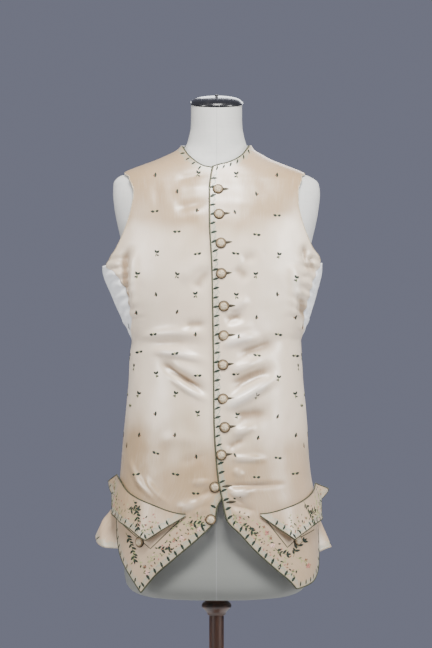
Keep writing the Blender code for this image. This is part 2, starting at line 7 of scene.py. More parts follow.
# %% Load the frame
import math
import random
from bisect import bisect_right
from collections import namedtuple

import bmesh
import bpy
from mathutils import Matrix, Vector, kdtree, noise


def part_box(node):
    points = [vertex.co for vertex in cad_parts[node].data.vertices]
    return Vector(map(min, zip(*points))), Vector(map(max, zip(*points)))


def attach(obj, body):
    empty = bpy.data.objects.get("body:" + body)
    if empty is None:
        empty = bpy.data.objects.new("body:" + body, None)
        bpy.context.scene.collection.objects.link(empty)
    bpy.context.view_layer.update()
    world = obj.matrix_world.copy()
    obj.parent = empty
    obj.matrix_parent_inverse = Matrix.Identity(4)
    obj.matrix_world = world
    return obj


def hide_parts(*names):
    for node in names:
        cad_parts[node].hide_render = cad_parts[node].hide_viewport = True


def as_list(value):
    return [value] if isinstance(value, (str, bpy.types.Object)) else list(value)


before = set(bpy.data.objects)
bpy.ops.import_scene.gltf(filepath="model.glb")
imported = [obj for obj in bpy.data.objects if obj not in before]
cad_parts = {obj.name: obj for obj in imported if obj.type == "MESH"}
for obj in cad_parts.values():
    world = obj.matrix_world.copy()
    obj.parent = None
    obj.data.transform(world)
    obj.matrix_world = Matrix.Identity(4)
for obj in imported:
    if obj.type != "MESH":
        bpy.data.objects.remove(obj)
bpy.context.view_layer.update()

form_low, form_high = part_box("form_torso")
print("form", [round(v, 4) for v in (*form_low, *form_high)])

# %% [markdown]
# ## The camera
# The view is from far off with a long lens, level with the middle of the garment, so that
# upright edges stay upright. The distance and the height of what shows set the lens.

# %% Camera
VIEW_DISTANCE = 4.5
VIEW_HEIGHT = 1.212       # of what shows at the stand's axis
EYE_LEVEL = 1.120
SENSOR = 36.0

camera_data = bpy.data.cameras.new("camera")
camera_data.sensor_width = SENSOR
camera_data.lens = SENSOR * VIEW_DISTANCE / VIEW_HEIGHT
camera = bpy.data.objects.new("camera", camera_data)
camera.location = (-0.001, -VIEW_DISTANCE, EYE_LEVEL)
camera.rotation_euler = (math.radians(90.0), 0.0, 0.0)
bpy.context.scene.collection.objects.link(camera)
bpy.context.scene.camera = camera
print("lens", round(camera_data.lens, 1), "mm")

# %% [markdown]
# ## Light and floor
# Satin shows its folds by what it reflects, so the light comes from broad soft panels: one on
# each side, the strongest above and in front, and a cool one behind. The surroundings are a plain
# blue-grey, which keeps the shadows cool beside the warm silk. The floor is a pale disc that the
# stand rests on.

# %% Lights, surroundings and floor
Panel = namedtuple("Panel", "name place aim wide high power colour")
PANELS = [
    Panel("key_left", (-1.8, -1.2, 1.55), (0.0, 0.0, 1.20), 0.6, 1.0, 34.0, (1.0, 0.98, 0.95)),
    Panel("key_right", (1.8, -1.1, 1.55), (0.0, 0.0, 1.20), 0.6, 1.0, 44.0, (1.0, 0.99, 0.97)),
    Panel("top", (0.1, -1.3, 2.75), (0.0, 0.0, 1.15), 0.8, 0.5, 92.0, (1.0, 0.98, 0.95)),
    Panel("back", (0.6, 2.6, 2.2), (0.0, 0.0, 1.1), 1.6, 1.4, 34.0, (0.93, 0.96, 1.0)),
]


def add_panel(panel):
    light = bpy.data.lights.new(panel.name, "AREA")
    light.shape = "RECTANGLE"
    light.size, light.size_y = panel.wide, panel.high
    light.energy = panel.power
    light.color = panel.colour
    made = bpy.data.objects.new(panel.name, light)
    made.location = panel.place
    made.rotation_euler = (Vector(panel.aim) - Vector(panel.place)).to_track_quat("-Z", "Y").to_euler()
    bpy.context.scene.collection.objects.link(made)


for panel in PANELS:
    add_panel(panel)

world = bpy.data.worlds.new("surroundings")
world.use_nodes = True
world.node_tree.nodes["Background"].inputs["Color"].default_value = (0.165, 0.172, 0.228, 1.0)
world.node_tree.nodes["Background"].inputs["Strength"].default_value = 1.0
bpy.context.scene.world = world

floor_mesh = bpy.data.meshes.new("floor")
bm = bmesh.new()
bmesh.ops.create_circle(bm, cap_ends=True, segments=96, radius=1.6)
bm.to_mesh(floor_mesh)
bm.free()
floor = bpy.data.objects.new("floor", floor_mesh)
bpy.context.scene.collection.objects.link(floor)
print(len(PANELS), "light panels and a floor")

# %% [markdown]
# ## Shader maths
# A material's pattern is worked out by nodes. Writing them as sums is easier to read than wiring
# them one by one, so a small class wraps a socket and makes a Math node for each operation.


# %% A socket that does sums
class Socket:
    def __init__(self, tree, socket):
        self.tree, self.socket = tree, socket

    def node(self, kind, inputs=(), output=0, **settings):
        """Any other node: its type, its settings, and the values or links of its sockets."""
        return add_node(self.tree, kind, inputs, output, **settings)

    def math(self, operation, *others):
        return self.node("ShaderNodeMath", dict(enumerate((self, *others))), operation=operation)

    def __add__(self, other): return self.math("ADD", other)
    def __radd__(self, other): return self.math("ADD", other)
    def __mul__(self, other): return self.math("MULTIPLY", other)
    def __rmul__(self, other): return self.math("MULTIPLY", other)
    def __sub__(self, other): return self.math("SUBTRACT", other)
    def __rsub__(self, other): return (self * -1.0) + other


def add_node(tree, kind, inputs=(), output=0, **settings):
    node = tree.nodes.new(kind)
    for name, value in settings.items():
        setattr(node, name, value)
    for key, value in dict(inputs).items():
        if isinstance(value, Socket):
            tree.links.new(value.socket, node.inputs[key])
        else:
            node.inputs[key].default_value = value
    return Socket(tree, node.outputs[output])


def new_material(name, **constants):
    """A Principled material; the constants are set on the shader's own sockets."""
    made = bpy.data.materials.new(name)
    made.use_nodes = True
    shader = made.node_tree.nodes["Principled BSDF"]
    for key, value in constants.items():
        shader.inputs[key.replace("_", " ").title().replace("Ior", "IOR")].default_value = value
    return made, made.node_tree, shader


def feed(tree, shader, **sockets):
    for key, value in sockets.items():
        tree.links.new(value.socket, shader.inputs[key.replace("_", " ").title()])


def mix_colours(tree, share, first, second):
    """A colour between two, each a link or an (r, g, b)."""
    pair = [c if isinstance(c, Socket) else (*c, 1.0) for c in (first, second)]
    return add_node(tree, "ShaderNodeMix", {0: share, 6: pair[0], 7: pair[1]}, 2, data_type="RGBA")


def ramp(tree, value, low, high):
    """0 below low and 1 above high."""
    return add_node(tree, "ShaderNodeMapRange", {0: value, 1: low, 2: high},
                    interpolation_type="SMOOTHSTEP")


def grain(tree, place, scale, stretch=(1, 1, 1), detail=3.0, rough=0.5):
    """Noise on a place, drawn out along its axes."""
    moved = add_node(tree, "ShaderNodeMapping", {0: place, 3: stretch})
    return add_node(tree, "ShaderNodeTexNoise", {0: moved, 2: scale, 3: detail, 4: rough})


def bump(tree, height, strength, depth):
    return add_node(tree, "ShaderNodeBump", {0: strength, 1: depth, "Height": height})


def object_place(tree):
    return add_node(tree, "ShaderNodeTexCoord", (), 3)


def cloth_place(tree):
    """The piece's own UV map, which is laid out in metres across and up the cloth."""
    return add_node(tree, "ShaderNodeUVMap", (), 0, uv_map="cloth")


# %% [markdown]
# ## The silk, the linen and the rest
# Satin is nearly all warp on its face, so its grain is fine and runs up the cloth, and the long
# floats make it shine. Two hundred years have left it unevenly brown. Its colour is also darker
# towards the shoulders, partly browning and partly painted shade, and towards the hips as painted
# shade. Painted shade lies in the troughs of the creases, and painted highlight on their ridges. The
# linen of the back is plain, white and matt, with its threads just showing.


# %% Cloth materials
def worked_band(tree):
    """The pale stitched ground beside a worked edge: scrolls on a band 12 mm wide."""
    away, along, _ = [add_node(tree, "ShaderNodeSeparateXYZ",
                               {0: add_node(tree, "ShaderNodeUVMap", (), 0, uv_map="trim")}, i)
                      for i in range(3)]
    ripple = (along * 330.0).math("SINE") * 0.0016
    band = ramp(tree, away + ripple, 0.0130, 0.0105)
    curl = (along * 620.0 + (away * 900.0).math("SINE") * 1.6).math("SINE")
    cross = (away * 1500.0 + (along * 330.0).math("SINE") * 2.2).math("SINE")
    scroll = ramp(tree, curl * cross, -0.15, 0.35)
    return band * (scroll * 0.60 + 0.12)


def satin_material():
    made, tree, shader = new_material(
        "silk_satin", sheen_weight=0.15, sheen_roughness=0.4, specular_ior_level=1.0,
        sheen_tint=(1.0, 0.97, 0.92, 1.0), coat_weight=0.12, coat_roughness=0.30)
    place = cloth_place(tree)
    body = object_place(tree)
    warp = grain(tree, place, 900.0, (1.0, 0.035, 1.0), 2.0)
    cloud = grain(tree, body, 5.0, (1.0, 1.0, 0.7), 3.0, 0.55)
    fleck = grain(tree, body, 38.0, (1.0, 1.0, 0.6), 4.0, 0.6)
    height = add_node(tree, "ShaderNodeSeparateXYZ", {0: body}, 2)
    # Darker towards the shoulders, partly browning and partly painted shade, and towards the hips, which is
    # painted shade; the cloud adds uneven browning.
    height_stain_and_shade = ramp(tree, height, 1.26, 1.38) * 0.50 + ramp(tree, height, 0.98, 0.80) * 0.42
    brown_and_shade_mask = ramp(tree, cloud + height_stain_and_shade, 0.46, 0.80)
    base = mix_colours(tree, brown_and_shade_mask, (0.765, 0.640, 0.490), (0.400, 0.275, 0.150))
    pink = ramp(tree, grain(tree, body, 3.1, (1.0, 1.0, 1.0), 2.0), 0.45, 0.65)
    base = mix_colours(tree, pink * 0.30, base, (0.690, 0.545, 0.430))
    # Painted shade: the satin is darker brown in the troughs of the creases, read from their height.
    crease = add_node(tree, "ShaderNodeSeparateXYZ", {
        0: add_node(tree, "ShaderNodeUVMap", (), 0, uv_map="crease")}, 0)
    painted_crease_shade = ramp(tree, crease + (fleck - 0.5) * 0.003, -0.0006, -0.0070)
    base = mix_colours(tree, painted_crease_shade * 0.85, base, (0.270, 0.175, 0.095))
    # Painted highlight: the satin is lighter on the ridges of the creases.
    base = mix_colours(tree, ramp(tree, crease, 0.0015, 0.0085) * 0.55, base, (0.870, 0.820, 0.750))
    base = mix_colours(tree, ramp(tree, fleck, 0.60, 0.75) * 0.25, base, (0.550, 0.440, 0.320))
    base = mix_colours(tree, ramp(tree, warp, 0.45, 0.75) * 0.10, base, (0.900, 0.860, 0.780))
    base = mix_colours(tree, worked_band(tree), base, (0.330, 0.375, 0.300))
    feed(tree, shader, base_color=base, roughness=fleck * 0.14 + 0.30,
         normal=bump(tree, warp * 0.6 + fleck * 0.8, 0.22, 0.0004))
    return made


def linen_material(name, colour, shade):
    made, tree, shader = new_material(name, roughness=0.9, sheen_weight=0.15)
    place = cloth_place(tree)
    across = add_node(tree, "ShaderNodeTexWave", {0: place, 1: 420.0, 2: 0.6, 3: 2.0},
                      1, wave_type="BANDS", bands_direction="X")
    up = add_node(tree, "ShaderNodeTexWave", {0: place, 1: 420.0, 2: 0.6, 3: 2.0},
                  1, wave_type="BANDS", bands_direction="Y")
    cloud = grain(tree, object_place(tree), 7.0, (1, 1, 1), 4.0)
    base = mix_colours(tree, ramp(tree, cloud, 0.4, 0.75), colour, shade)
    base = mix_colours(tree, (across * up) * 0.25, base, shade)
    feed(tree, shader, base_color=base, normal=bump(tree, across + up, 0.25, 0.0003))
    return made


satin = satin_material()
linen = linen_material("back_linen", (0.80, 0.815, 0.83), (0.70, 0.71, 0.72))
lining = linen_material("lining_linen", (0.52, 0.45, 0.33), (0.36, 0.30, 0.20))
print("cloth materials", satin.name, linen.name, lining.name)

# %% [markdown]
# ## The body under the cloth
# The garment's level sections are the same as the frame's: how wide it is on each side at a
# height, how far it reaches in front and behind, and how square it is. A smooth curve runs
# through the rows without overshooting. A place on the cloth is then an angle and a height:
# 0 at centre front, 90 at the side and 180 at centre back.


# %% Smooth tables
class Curve:
    """Smooth curves through a table's columns, with no overshoot between its rows."""

    def __init__(self, places, rows):
        self.places = list(places)
        self.rows = [list(map(float, row)) for row in rows]
        self.slopes = [self.slope(i) for i in range(len(self.rows))]

    def slope(self, i):
        if i in (0, len(self.rows) - 1):
            return [0.0] * len(self.rows[i])
        before, after = self.places[i] - self.places[i - 1], self.places[i + 1] - self.places[i]
        made = []
        for a, b, c in zip(*self.rows[i - 1:i + 2]):
            down, up = (b - a) / before, (c - b) / after
            made.append(2.0 * down * up / (down + up) if down * up > 0 else 0.0)
        return made

    def at(self, place):
        i = min(max(bisect_right(self.places, place) - 1, 0), len(self.places) - 2)
        rise = self.places[i + 1] - self.places[i]
        share = min(1.0, max(0.0, (place - self.places[i]) / rise))
        square, cube = share * share, share ** 3
        ease, leave, arrive = 3 * square - 2 * cube, share - 2 * square + cube, cube - square
        return [a + (b - a) * ease + rise * (p * leave + q * arrive)
                for a, b, p, q in zip(self.rows[i], self.rows[i + 1], self.slopes[i], self.slopes[i + 1])]


Section = namedtuple("Section", "z right left front back middle round")

FORM = [
    Section(0.6100, 0.112, 0.112, 0.064, 0.070, 0.000, 2.2),
    Section(0.6125, 0.131, 0.131, 0.078, 0.084, 0.000, 2.2),
    Section(0.6170, 0.147, 0.147, 0.088, 0.095, 0.000, 2.2),
    Section(0.6245, 0.160, 0.160, 0.096, 0.104, 0.000, 2.2),
    Section(0.6390, 0.1695, 0.1695, 0.102, 0.112, 0.000, 2.2),
    Section(0.6600, 0.1725, 0.1725, 0.105, 0.116, 0.000, 2.2),
    Section(0.7200, 0.1730, 0.1730, 0.107, 0.120, 0.000, 2.2),
    Section(0.8000, 0.1710, 0.1710, 0.108, 0.120, 0.000, 2.2),
    Section(0.9000, 0.1630, 0.1630, 0.106, 0.112, 0.000, 2.2),
    Section(1.0000, 0.1530, 0.1530, 0.100, 0.093, 0.000, 2.2),
    Section(1.0880, 0.1460, 0.1460, 0.095, 0.080, 0.000, 2.2),
    Section(1.1700, 0.1550, 0.1550, 0.103, 0.087, 0.000, 2.2),
    Section(1.2400, 0.1690, 0.1690, 0.110, 0.099, 0.000, 2.2),
    Section(1.2750, 0.1780, 0.1780, 0.110, 0.103, 0.000, 2.2),
    Section(1.3370, 0.1910, 0.1910, 0.099, 0.105, 0.003, 2.2),
    Section(1.3640, 0.1935, 0.1935, 0.091, 0.102, 0.004, 2.15),
    Section(1.3820, 0.1930, 0.1910, 0.083, 0.097, 0.005, 2.1),
    Section(1.3940, 0.1850, 0.1780, 0.077, 0.091, 0.005, 2.1),
    Section(1.4040, 0.1575, 0.1480, 0.0722, 0.0862, 0.005, 2.1),
    Section(1.4180, 0.1240, 0.1140, 0.066, 0.078, 0.005, 2.05),
    Section(1.4290, 0.0960, 0.0880, 0.061, 0.072, 0.005, 2.0),
    Section(1.4400, 0.0715, 0.0665, 0.0567, 0.066, 0.003, 2.0),
    Section(1.4530, 0.0570, 0.0565, 0.053, 0.060, 0.001, 2.0),
    Section(1.4700, 0.0515, 0.0515, 0.050, 0.054, -0.001, 2.0),
    Section(1.4880, 0.0482, 0.0482, 0.048, 0.051, -0.002, 2.0),
    Section(1.5100, 0.0476, 0.0476, 0.047, 0.049, -0.003, 2.0),
]

GARMENT = [
    Section(0.6200, 0.184, 0.189, 0.1280, 0.1340, 0.000, 2.2),
    Section(0.6600, 0.186, 0.190, 0.1285, 0.1350, 0.000, 2.2),
    Section(0.7000, 0.187, 0.189, 0.1285, 0.1360, 0.000, 2.2),
    Section(0.7800, 0.183, 0.184, 0.1280, 0.1350, 0.000, 2.2),
    Section(0.8400, 0.1775, 0.1750, 0.1265, 0.1330, 0.000, 2.2),
    Section(0.8880, 0.1737, 0.1697, 0.1250, 0.1270, 0.000, 2.2),
    Section(0.9450, 0.1692, 0.1662, 0.1235, 0.1190, 0.000, 2.2),
    Section(1.0300, 0.1612, 0.1595, 0.1205, 0.1040, 0.000, 2.2),
    Section(1.0650, 0.1590, 0.1570, 0.1190, 0.0990, 0.000, 2.2),
    Section(1.0880, 0.1566, 0.1562, 0.1180, 0.0970, 0.000, 2.15),
    Section(1.1050, 0.1640, 0.1620, 0.1185, 0.0980, 0.000, 2.1),
    Section(1.1310, 0.1777, 0.1730, 0.1200, 0.1000, 0.000, 2.0),
    Section(1.1780, 0.1980, 0.1860, 0.1230, 0.1060, 0.000, 2.0),
    Section(1.2230, 0.2125, 0.1955, 0.1240, 0.1120, 0.000, 2.0),
    Section(1.2500, 0.2110, 0.1960, 0.1235, 0.1140, 0.000, 2.0),
    Section(1.2800, 0.2060, 0.1970, 0.1205, 0.1145, 0.001, 2.05),
    Section(1.3370, 0.1975, 0.1975, 0.1075, 0.1140, 0.003, 2.15),
    Section(1.3690, 0.1990, 0.1990, 0.0955, 0.1090, 0.004, 2.15),
    Section(1.3860, 0.1965, 0.1940, 0.0885, 0.1030, 0.005, 2.1),
    Section(1.3960, 0.1850, 0.1775, 0.0835, 0.0980, 0.005, 2.1),
    Section(1.4080, 0.1590, 0.1490, 0.0777, 0.0918, 0.005, 2.1),
    Section(1.4225, 0.1200, 0.1105, 0.0715, 0.0835, 0.005, 2.05),
    Section(1.4330, 0.0950, 0.0875, 0.0667, 0.0778, 0.005, 2.0),
    Section(1.4440, 0.0735, 0.0680, 0.0620, 0.0713, 0.003, 2.0),
    Section(1.4575, 0.0620, 0.0610, 0.0575, 0.0650, 0.001, 2.0),
    Section(1.4750, 0.0560, 0.0560, 0.0545, 0.0590, -0.001, 2.0),
]

garment = Curve([s.z for s in GARMENT], GARMENT)
form = Curve([s.z for s in FORM], FORM)
print(len(GARMENT), "garment levels and", len(FORM), "form levels")


# %% Places on a body
def on_surface(body, angle, z, right):
    """The place at an angle and a height; past centre front the angle is negative."""
    _, wide_right, wide_left, front, back, middle, round_ = body.at(z)
    turn = math.radians(angle)
    power = 2.0 / round_
    across = (wide_right if right else wide_left) * abs(math.sin(turn)) ** power
    reach = -front if angle <= 90.0 else back
    along = reach * abs(math.cos(turn)) ** power
    return Vector((across * (1 if (turn >= 0) != right else -1), middle + along, z))


def outward(body, angle, z, right):
    step, rise = 1.5, 0.004
    angle = min(178.4, max(-60.0, angle))
    across = on_surface(body, angle + step, z, right) - on_surface(body, angle - step, z, right)
    up = on_surface(body, angle, z + rise, right) - on_surface(body, angle, z - rise, right)
    normal = up.cross(across) if right else across.cross(up)
    return normal.normalized()


def angle_of(x, z, right):
    """The angle of the place at x in front."""
    _, wide_right, wide_left, *_, round_ = garment.at(z)
    sign = -1.0 if (x > 0) == right else 1.0
    share = min(1.0, abs(x) / (wide_right if right else wide_left))
    return sign * math.degrees(math.asin(share ** (round_ / 2.0)))


def blend(low, high, value):
    """0 below low, 1 above high, smooth between."""
    share = min(1.0, max(0.0, (value - low) / (high - low)))
    return share * share * (3.0 - 2.0 * share)


print("side seam at the waist", [round(v, 3) for v in on_surface(garment, 90.0, 1.088, True)])

# %% [markdown]
# ## Creases
# The creases are listed one by one. Each one is a line on the front or the back, in metres, with the
# width and height of its ridge; a negative height is a trough. It fades towards its ends, `bow`
# bends it sideways, and the cloth tugs away from the buttons along most of them. Under them lies a
# slow unevenness of the old silk, and rows of small puckers run beside the side seams.

# %% Creases
Fold = namedtuple("Fold", "x0 z0 x1 z1 wide high bow")

FRONT_FOLDS = [
    # the wearer's right front, from the chest to the waist
    Fold(-0.0800, 1.3850, -0.0090, 1.4000, 0.008, -0.0011, 0.000),
    Fold(-0.0850, 1.3600, -0.0080, 1.3700, 0.009, 0.0006, 0.003),
    Fold(-0.0800, 1.3330, -0.0080, 1.3480, 0.010, -0.0015, -0.002),
    Fold(-0.0950, 1.3080, -0.0080, 1.3230, 0.010, 0.0006, 0.002),
    Fold(-0.1140, 1.3900, -0.1100, 1.2900, 0.009, -0.0008, 0.004),
    Fold(-0.0420, 1.1780, -0.0080, 1.2260, 0.012, -0.0024, 0.002),
    Fold(-0.0700, 1.1950, -0.0100, 1.2480, 0.014, 0.0018, 0.003),
    Fold(-0.0640, 1.1150, -0.0090, 1.1180, 0.009, -0.0024, 0.003),
    Fold(-0.1480, 1.0918, -0.0080, 1.0963, 0.008, 0.0026, 0.010),
    Fold(-0.1300, 1.0790, -0.0080, 1.0790, 0.009, -0.0016, 0.006),
    Fold(-0.1260, 1.0700, -0.0080, 1.0497, 0.007, 0.0032, 0.005),
    Fold(-0.0900, 1.0480, -0.0080, 1.0120, 0.011, 0.0022, 0.002),
    Fold(-0.1080, 1.0560, -0.0080, 0.9905, 0.008, -0.0052, -0.002),
    Fold(-0.0900, 1.0290, -0.0080, 0.9760, 0.006, 0.0030, -0.003),
    Fold(-0.1100, 0.9050, -0.0090, 0.9000, 0.012, 0.0012, 0.008),
    Fold(-0.0700, 0.8620, -0.0080, 0.8860, 0.008, -0.0012, 0.002),
    # above the wearer's right flap
    Fold(-0.1600, 0.8750, -0.1250, 0.8060, 0.005, 0.0014, -0.004),
    Fold(-0.1500, 0.8480, -0.1000, 0.7900, 0.005, 0.0016, -0.004),
    Fold(-0.1330, 0.8430, -0.0800, 0.7860, 0.005, 0.0014, -0.004),
    Fold(-0.0480, 0.8290, -0.0060, 0.8330, 0.005, 0.0017, 0.001),
    Fold(-0.0760, 0.7830, -0.0030, 0.8120, 0.009, 0.0026, -0.004),
    Fold(-0.0480, 0.7900, -0.0010, 0.8260, 0.007, -0.0020, 0.001),
    Fold(-0.0460, 0.7700, -0.0120, 0.7880, 0.006, 0.0014, 0.001),
    # the wearer's left front, drawn to the buttons
    Fold(0.0400, 1.2370, 0.0800, 1.2460, 0.011, -0.0018, 0.000),
    Fold(0.0280, 1.2230, 0.0620, 1.1970, 0.012, -0.0026, 0.002),
    Fold(0.0230, 1.1430, 0.0620, 1.1680, 0.010, 0.0024, 0.002),
    Fold(0.0120, 1.1240, 0.0540, 1.1390, 0.010, -0.0034, 0.000),
    Fold(0.0120, 1.1060, 0.0700, 1.1200, 0.009, 0.0018, 0.002),
    Fold(0.0040, 1.0760, 0.0880, 1.0900, 0.010, 0.0040, 0.010),
    Fold(0.0310, 1.0570, 0.1240, 1.0890, 0.013, -0.0038, 0.004),
    Fold(0.0200, 1.0310, 0.0880, 1.0500, 0.010, 0.0030, 0.003),
    Fold(0.0190, 1.0010, 0.1160, 1.0440, 0.014, -0.0044, 0.002),
    Fold(0.0050, 0.9630, 0.1180, 1.0300, 0.010, 0.0056, -0.001),
    Fold(0.0240, 0.9500, 0.1080, 0.9590, 0.014, -0.0036, 0.000),
    Fold(0.0260, 0.9180, 0.0740, 0.9330, 0.008, 0.0030, 0.002),
    Fold(0.0140, 0.8910, 0.0600, 0.9170, 0.009, -0.0030, 0.000),
    Fold(0.0200, 0.8750, 0.0960, 0.8725, 0.006, 0.0026, 0.001),
    Fold(0.0280, 0.8560, 0.0500, 0.8390, 0.006, 0.0020, 0.001),
    Fold(0.0050, 0.8263, 0.1330, 0.8263, 0.0045, -0.0026, 0.000),
    Fold(0.0130, 0.8080, 0.0720, 0.8170, 0.008, 0.0034, 0.000),
    Fold(0.0080, 0.8200, 0.0720, 0.7790, 0.0045, -0.0018, 0.000),
    Fold(0.0180, 0.7940, 0.0780, 0.7770, 0.0045, -0.0020, 0.000),
    Fold(0.0250, 0.7800, 0.0640, 0.7660, 0.0050, 0.0014, 0.000),
    # below the armholes
    Fold(-0.1590, 1.2700, -0.1520, 1.1250, 0.010, -0.0062, -0.013),
    Fold(-0.1490, 1.2650, -0.1480, 1.1250, 0.009, 0.0032, -0.006),
    Fold(-0.1700, 1.2450, -0.1640, 1.1500, 0.006, 0.0030, -0.008),
    Fold(0.1600, 1.2700, 0.1780, 1.2000, 0.006, -0.0042, -0.004),
    Fold(0.1720, 1.2500, 0.1830, 1.2080, 0.005, -0.0034, -0.002),
    Fold(0.1660, 1.2560, 0.1760, 1.2100, 0.005, 0.0026, -0.003),
    Fold(0.1470, 1.1800, 0.1600, 1.1200, 0.009, -0.0052, 0.003),
    Fold(0.1390, 1.2350, 0.1470, 1.1200, 0.010, 0.0034, 0.003),
]

DEEPEN = 1.9              # one knob for all the creases in front

BACK_FOLDS = [
    Fold(-0.1150, 1.3300, -0.0300, 1.3600, 0.012, 0.0018, 0.006),
    Fold(0.1150, 1.3280, 0.0350, 1.3620, 0.012, 0.0018, -0.006),
    Fold(-0.1420, 1.2300, -0.0500, 1.1500, 0.011, 0.0024, -0.006),
    Fold(0.1450, 1.2250, 0.0480, 1.1530, 0.011, 0.0024, 0.006),
    Fold(-0.1300, 1.1300, -0.0200, 1.0950, 0.009, -0.0026, -0.004),
    Fold(0.1320, 1.1280, 0.0250, 1.0900, 0.009, -0.0026, 0.004),
    Fold(-0.1200, 1.0550, -0.0150, 1.0800, 0.009, 0.0024, 0.004),
    Fold(0.1250, 1.0600, 0.0180, 1.0830, 0.010, 0.0024, -0.004),
    Fold(-0.1000, 1.0000, -0.0600, 0.7200, 0.012, 0.0030, 0.004),
    Fold(0.1050, 0.9900, 0.0620, 0.7200, 0.012, 0.0030, -0.004),
    Fold(-0.0450, 0.9600, -0.0300, 0.7200, 0.010, -0.0024, 0.002),
    Fold(0.0480, 0.9500, 0.0280, 0.7200, 0.010, -0.0024, -0.002),
]


def fold_height(fold, x, z):
    run, rise = fold.x1 - fold.x0, fold.z1 - fold.z0
    length = math.hypot(run, rise)
    along = ((x - fold.x0) * run + (z - fold.z0) * rise) / length
    aside = ((z - fold.z0) * run - (x - fold.x0) * rise) / length
    share = along / length
    if not 0.0 < share < 1.0 or abs(aside) > 3.0 * fold.wide + abs(fold.bow):
        return 0.0
    aside -= fold.bow * 4.0 * share * (1.0 - share)
    fade = blend(0.0, 0.30, share) * (1.0 - blend(0.55, 1.0, share))
    return fold.high * fade * math.exp(-(aside / fold.wide) ** 2)


def crease_height(x, z):
    return DEEPEN * sum(fold_height(fold, x, z) for fold in FRONT_FOLDS)


def blend_down(low, high, value):
    return 1.0 - blend(low, high, value)


UPPER_SEAM, LOWER_SEAM, SEAM_BEND = 64.0, 78.0, 1.13   # degrees, and the height between them
PUCKER, PUCKER_REACH = 0.0021, 11.0


def relief(angle, place, right):
    """How far the cloth stands off its smooth surface there."""
    x, y, z = place
    front, back = blend_down(84.0, 99.0, angle), blend(84.0, 99.0, angle)
    high = 0.0
    if front:
        high += front * crease_height(x, z)
    if back:
        high += back * sum(fold_height(fold, x, z) for fold in BACK_FOLDS)
    seam_angle = UPPER_SEAM if z > SEAM_BEND else LOWER_SEAM
    near_seam = math.exp(-((angle - seam_angle) / PUCKER_REACH) ** 2)
    near_seam *= blend(1.09, 1.12, z) * blend_down(1.23, 1.26, z)
    wave = math.sin(z * 330.0 + angle * 0.16 + 2.0 * noise.noise(place * 25.0))
    high += near_seam * PUCKER * wave
    slow = noise.noise(Vector((x * 13.0, y * 13.0, z * 9.0))) * 0.0022
    quick = noise.noise(Vector((x * 45.0, y * 45.0, z * 38.0))) * 0.0005
    calm = blend_down(1.385, 1.42, z)
    return (high + slow + quick) * (0.25 + 0.75 * calm)


print(len(FRONT_FOLDS), "creases in front and", len(BACK_FOLDS), "behind")

# %% [markdown]
# ## The cut of the cloth
# Each panel is a strip between two edges, from the hem up. A front's inner edge is given by its
# distance from the centre, every other edge by its angle round the body. Smooth curves through
# the rows give the edges, and the grid between them has a cell every few millimetres.

# %% Meshes and pieces
def smooth_mesh(name, bm, sharp=None):
    """The finished mesh of a bmesh. Edges past `sharp` degrees stay crisp."""
    mesh = bpy.data.meshes.new(name)
    bm.to_mesh(mesh)
    bm.free()
    mesh.shade_smooth()
    if sharp:
        mesh.set_sharp_from_angle(angle=math.radians(sharp))
    return mesh


def add_piece(name, mesh, *materials):
    for paint in materials:
        mesh.materials.append(paint)
    made = bpy.data.objects.new(name.replace("_", "-"), mesh)
    bpy.context.scene.collection.objects.link(made)
    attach(made, "root")
    return made


# %% Fronts and backs
Cut = namedtuple("Cut", "inner_x inner_z outer_angle outer_z")
Wrap = namedtuple("Wrap", "inner_angle inner_z outer_angle outer_z")

FRONT_RIGHT = [
    Cut(-0.1370, 0.6290, 47.0, 0.6285), Cut(-0.1120, 0.6610, 57.0, 0.6570),
    Cut(-0.0743, 0.6950, 71.5, 0.6950), Cut(-0.0159, 0.7470, 84.0, 0.7470),
    Cut(-0.0040, 0.7605, 88.0, 0.7605), Cut(0.0015, 0.7880, 93.0, 0.7880),
    Cut(0.0130, 0.8080, 96.5, 0.8080), Cut(0.0250, 0.8400, 98.0, 0.8400),
    Cut(0.0280, 0.9450, 97.0, 0.9450), Cut(0.0270, 1.0500, 93.0, 1.0500),
    Cut(0.0270, 1.0880, 86.0, 1.0880), Cut(0.0265, 1.1050, 74.0, 1.1050),
    Cut(0.0265, 1.1310, 62.0, 1.1310), Cut(0.0260, 1.1900, 58.5, 1.1900),
    Cut(0.0255, 1.2180, 61.5, 1.2140), Cut(0.0250, 1.2370, 73.0, 1.2270),
    Cut(0.0250, 1.2600, 62.5, 1.2560), Cut(0.0240, 1.2900, 56.0, 1.2880),
    Cut(0.0230, 1.3380, 50.5, 1.3380), Cut(0.0220, 1.3640, 48.5, 1.3640),
    Cut(0.0210, 1.3920, 56.0, 1.3920), Cut(0.0190, 1.4040, 78.0, 1.4050),
    Cut(-0.0230, 1.4110, 78.0, 1.4180), Cut(-0.0410, 1.4225, 78.0, 1.4260),
    Cut(-0.0530, 1.4340, 78.0, 1.4370), Cut(-0.0620, 1.4500, 78.0, 1.4520),
]

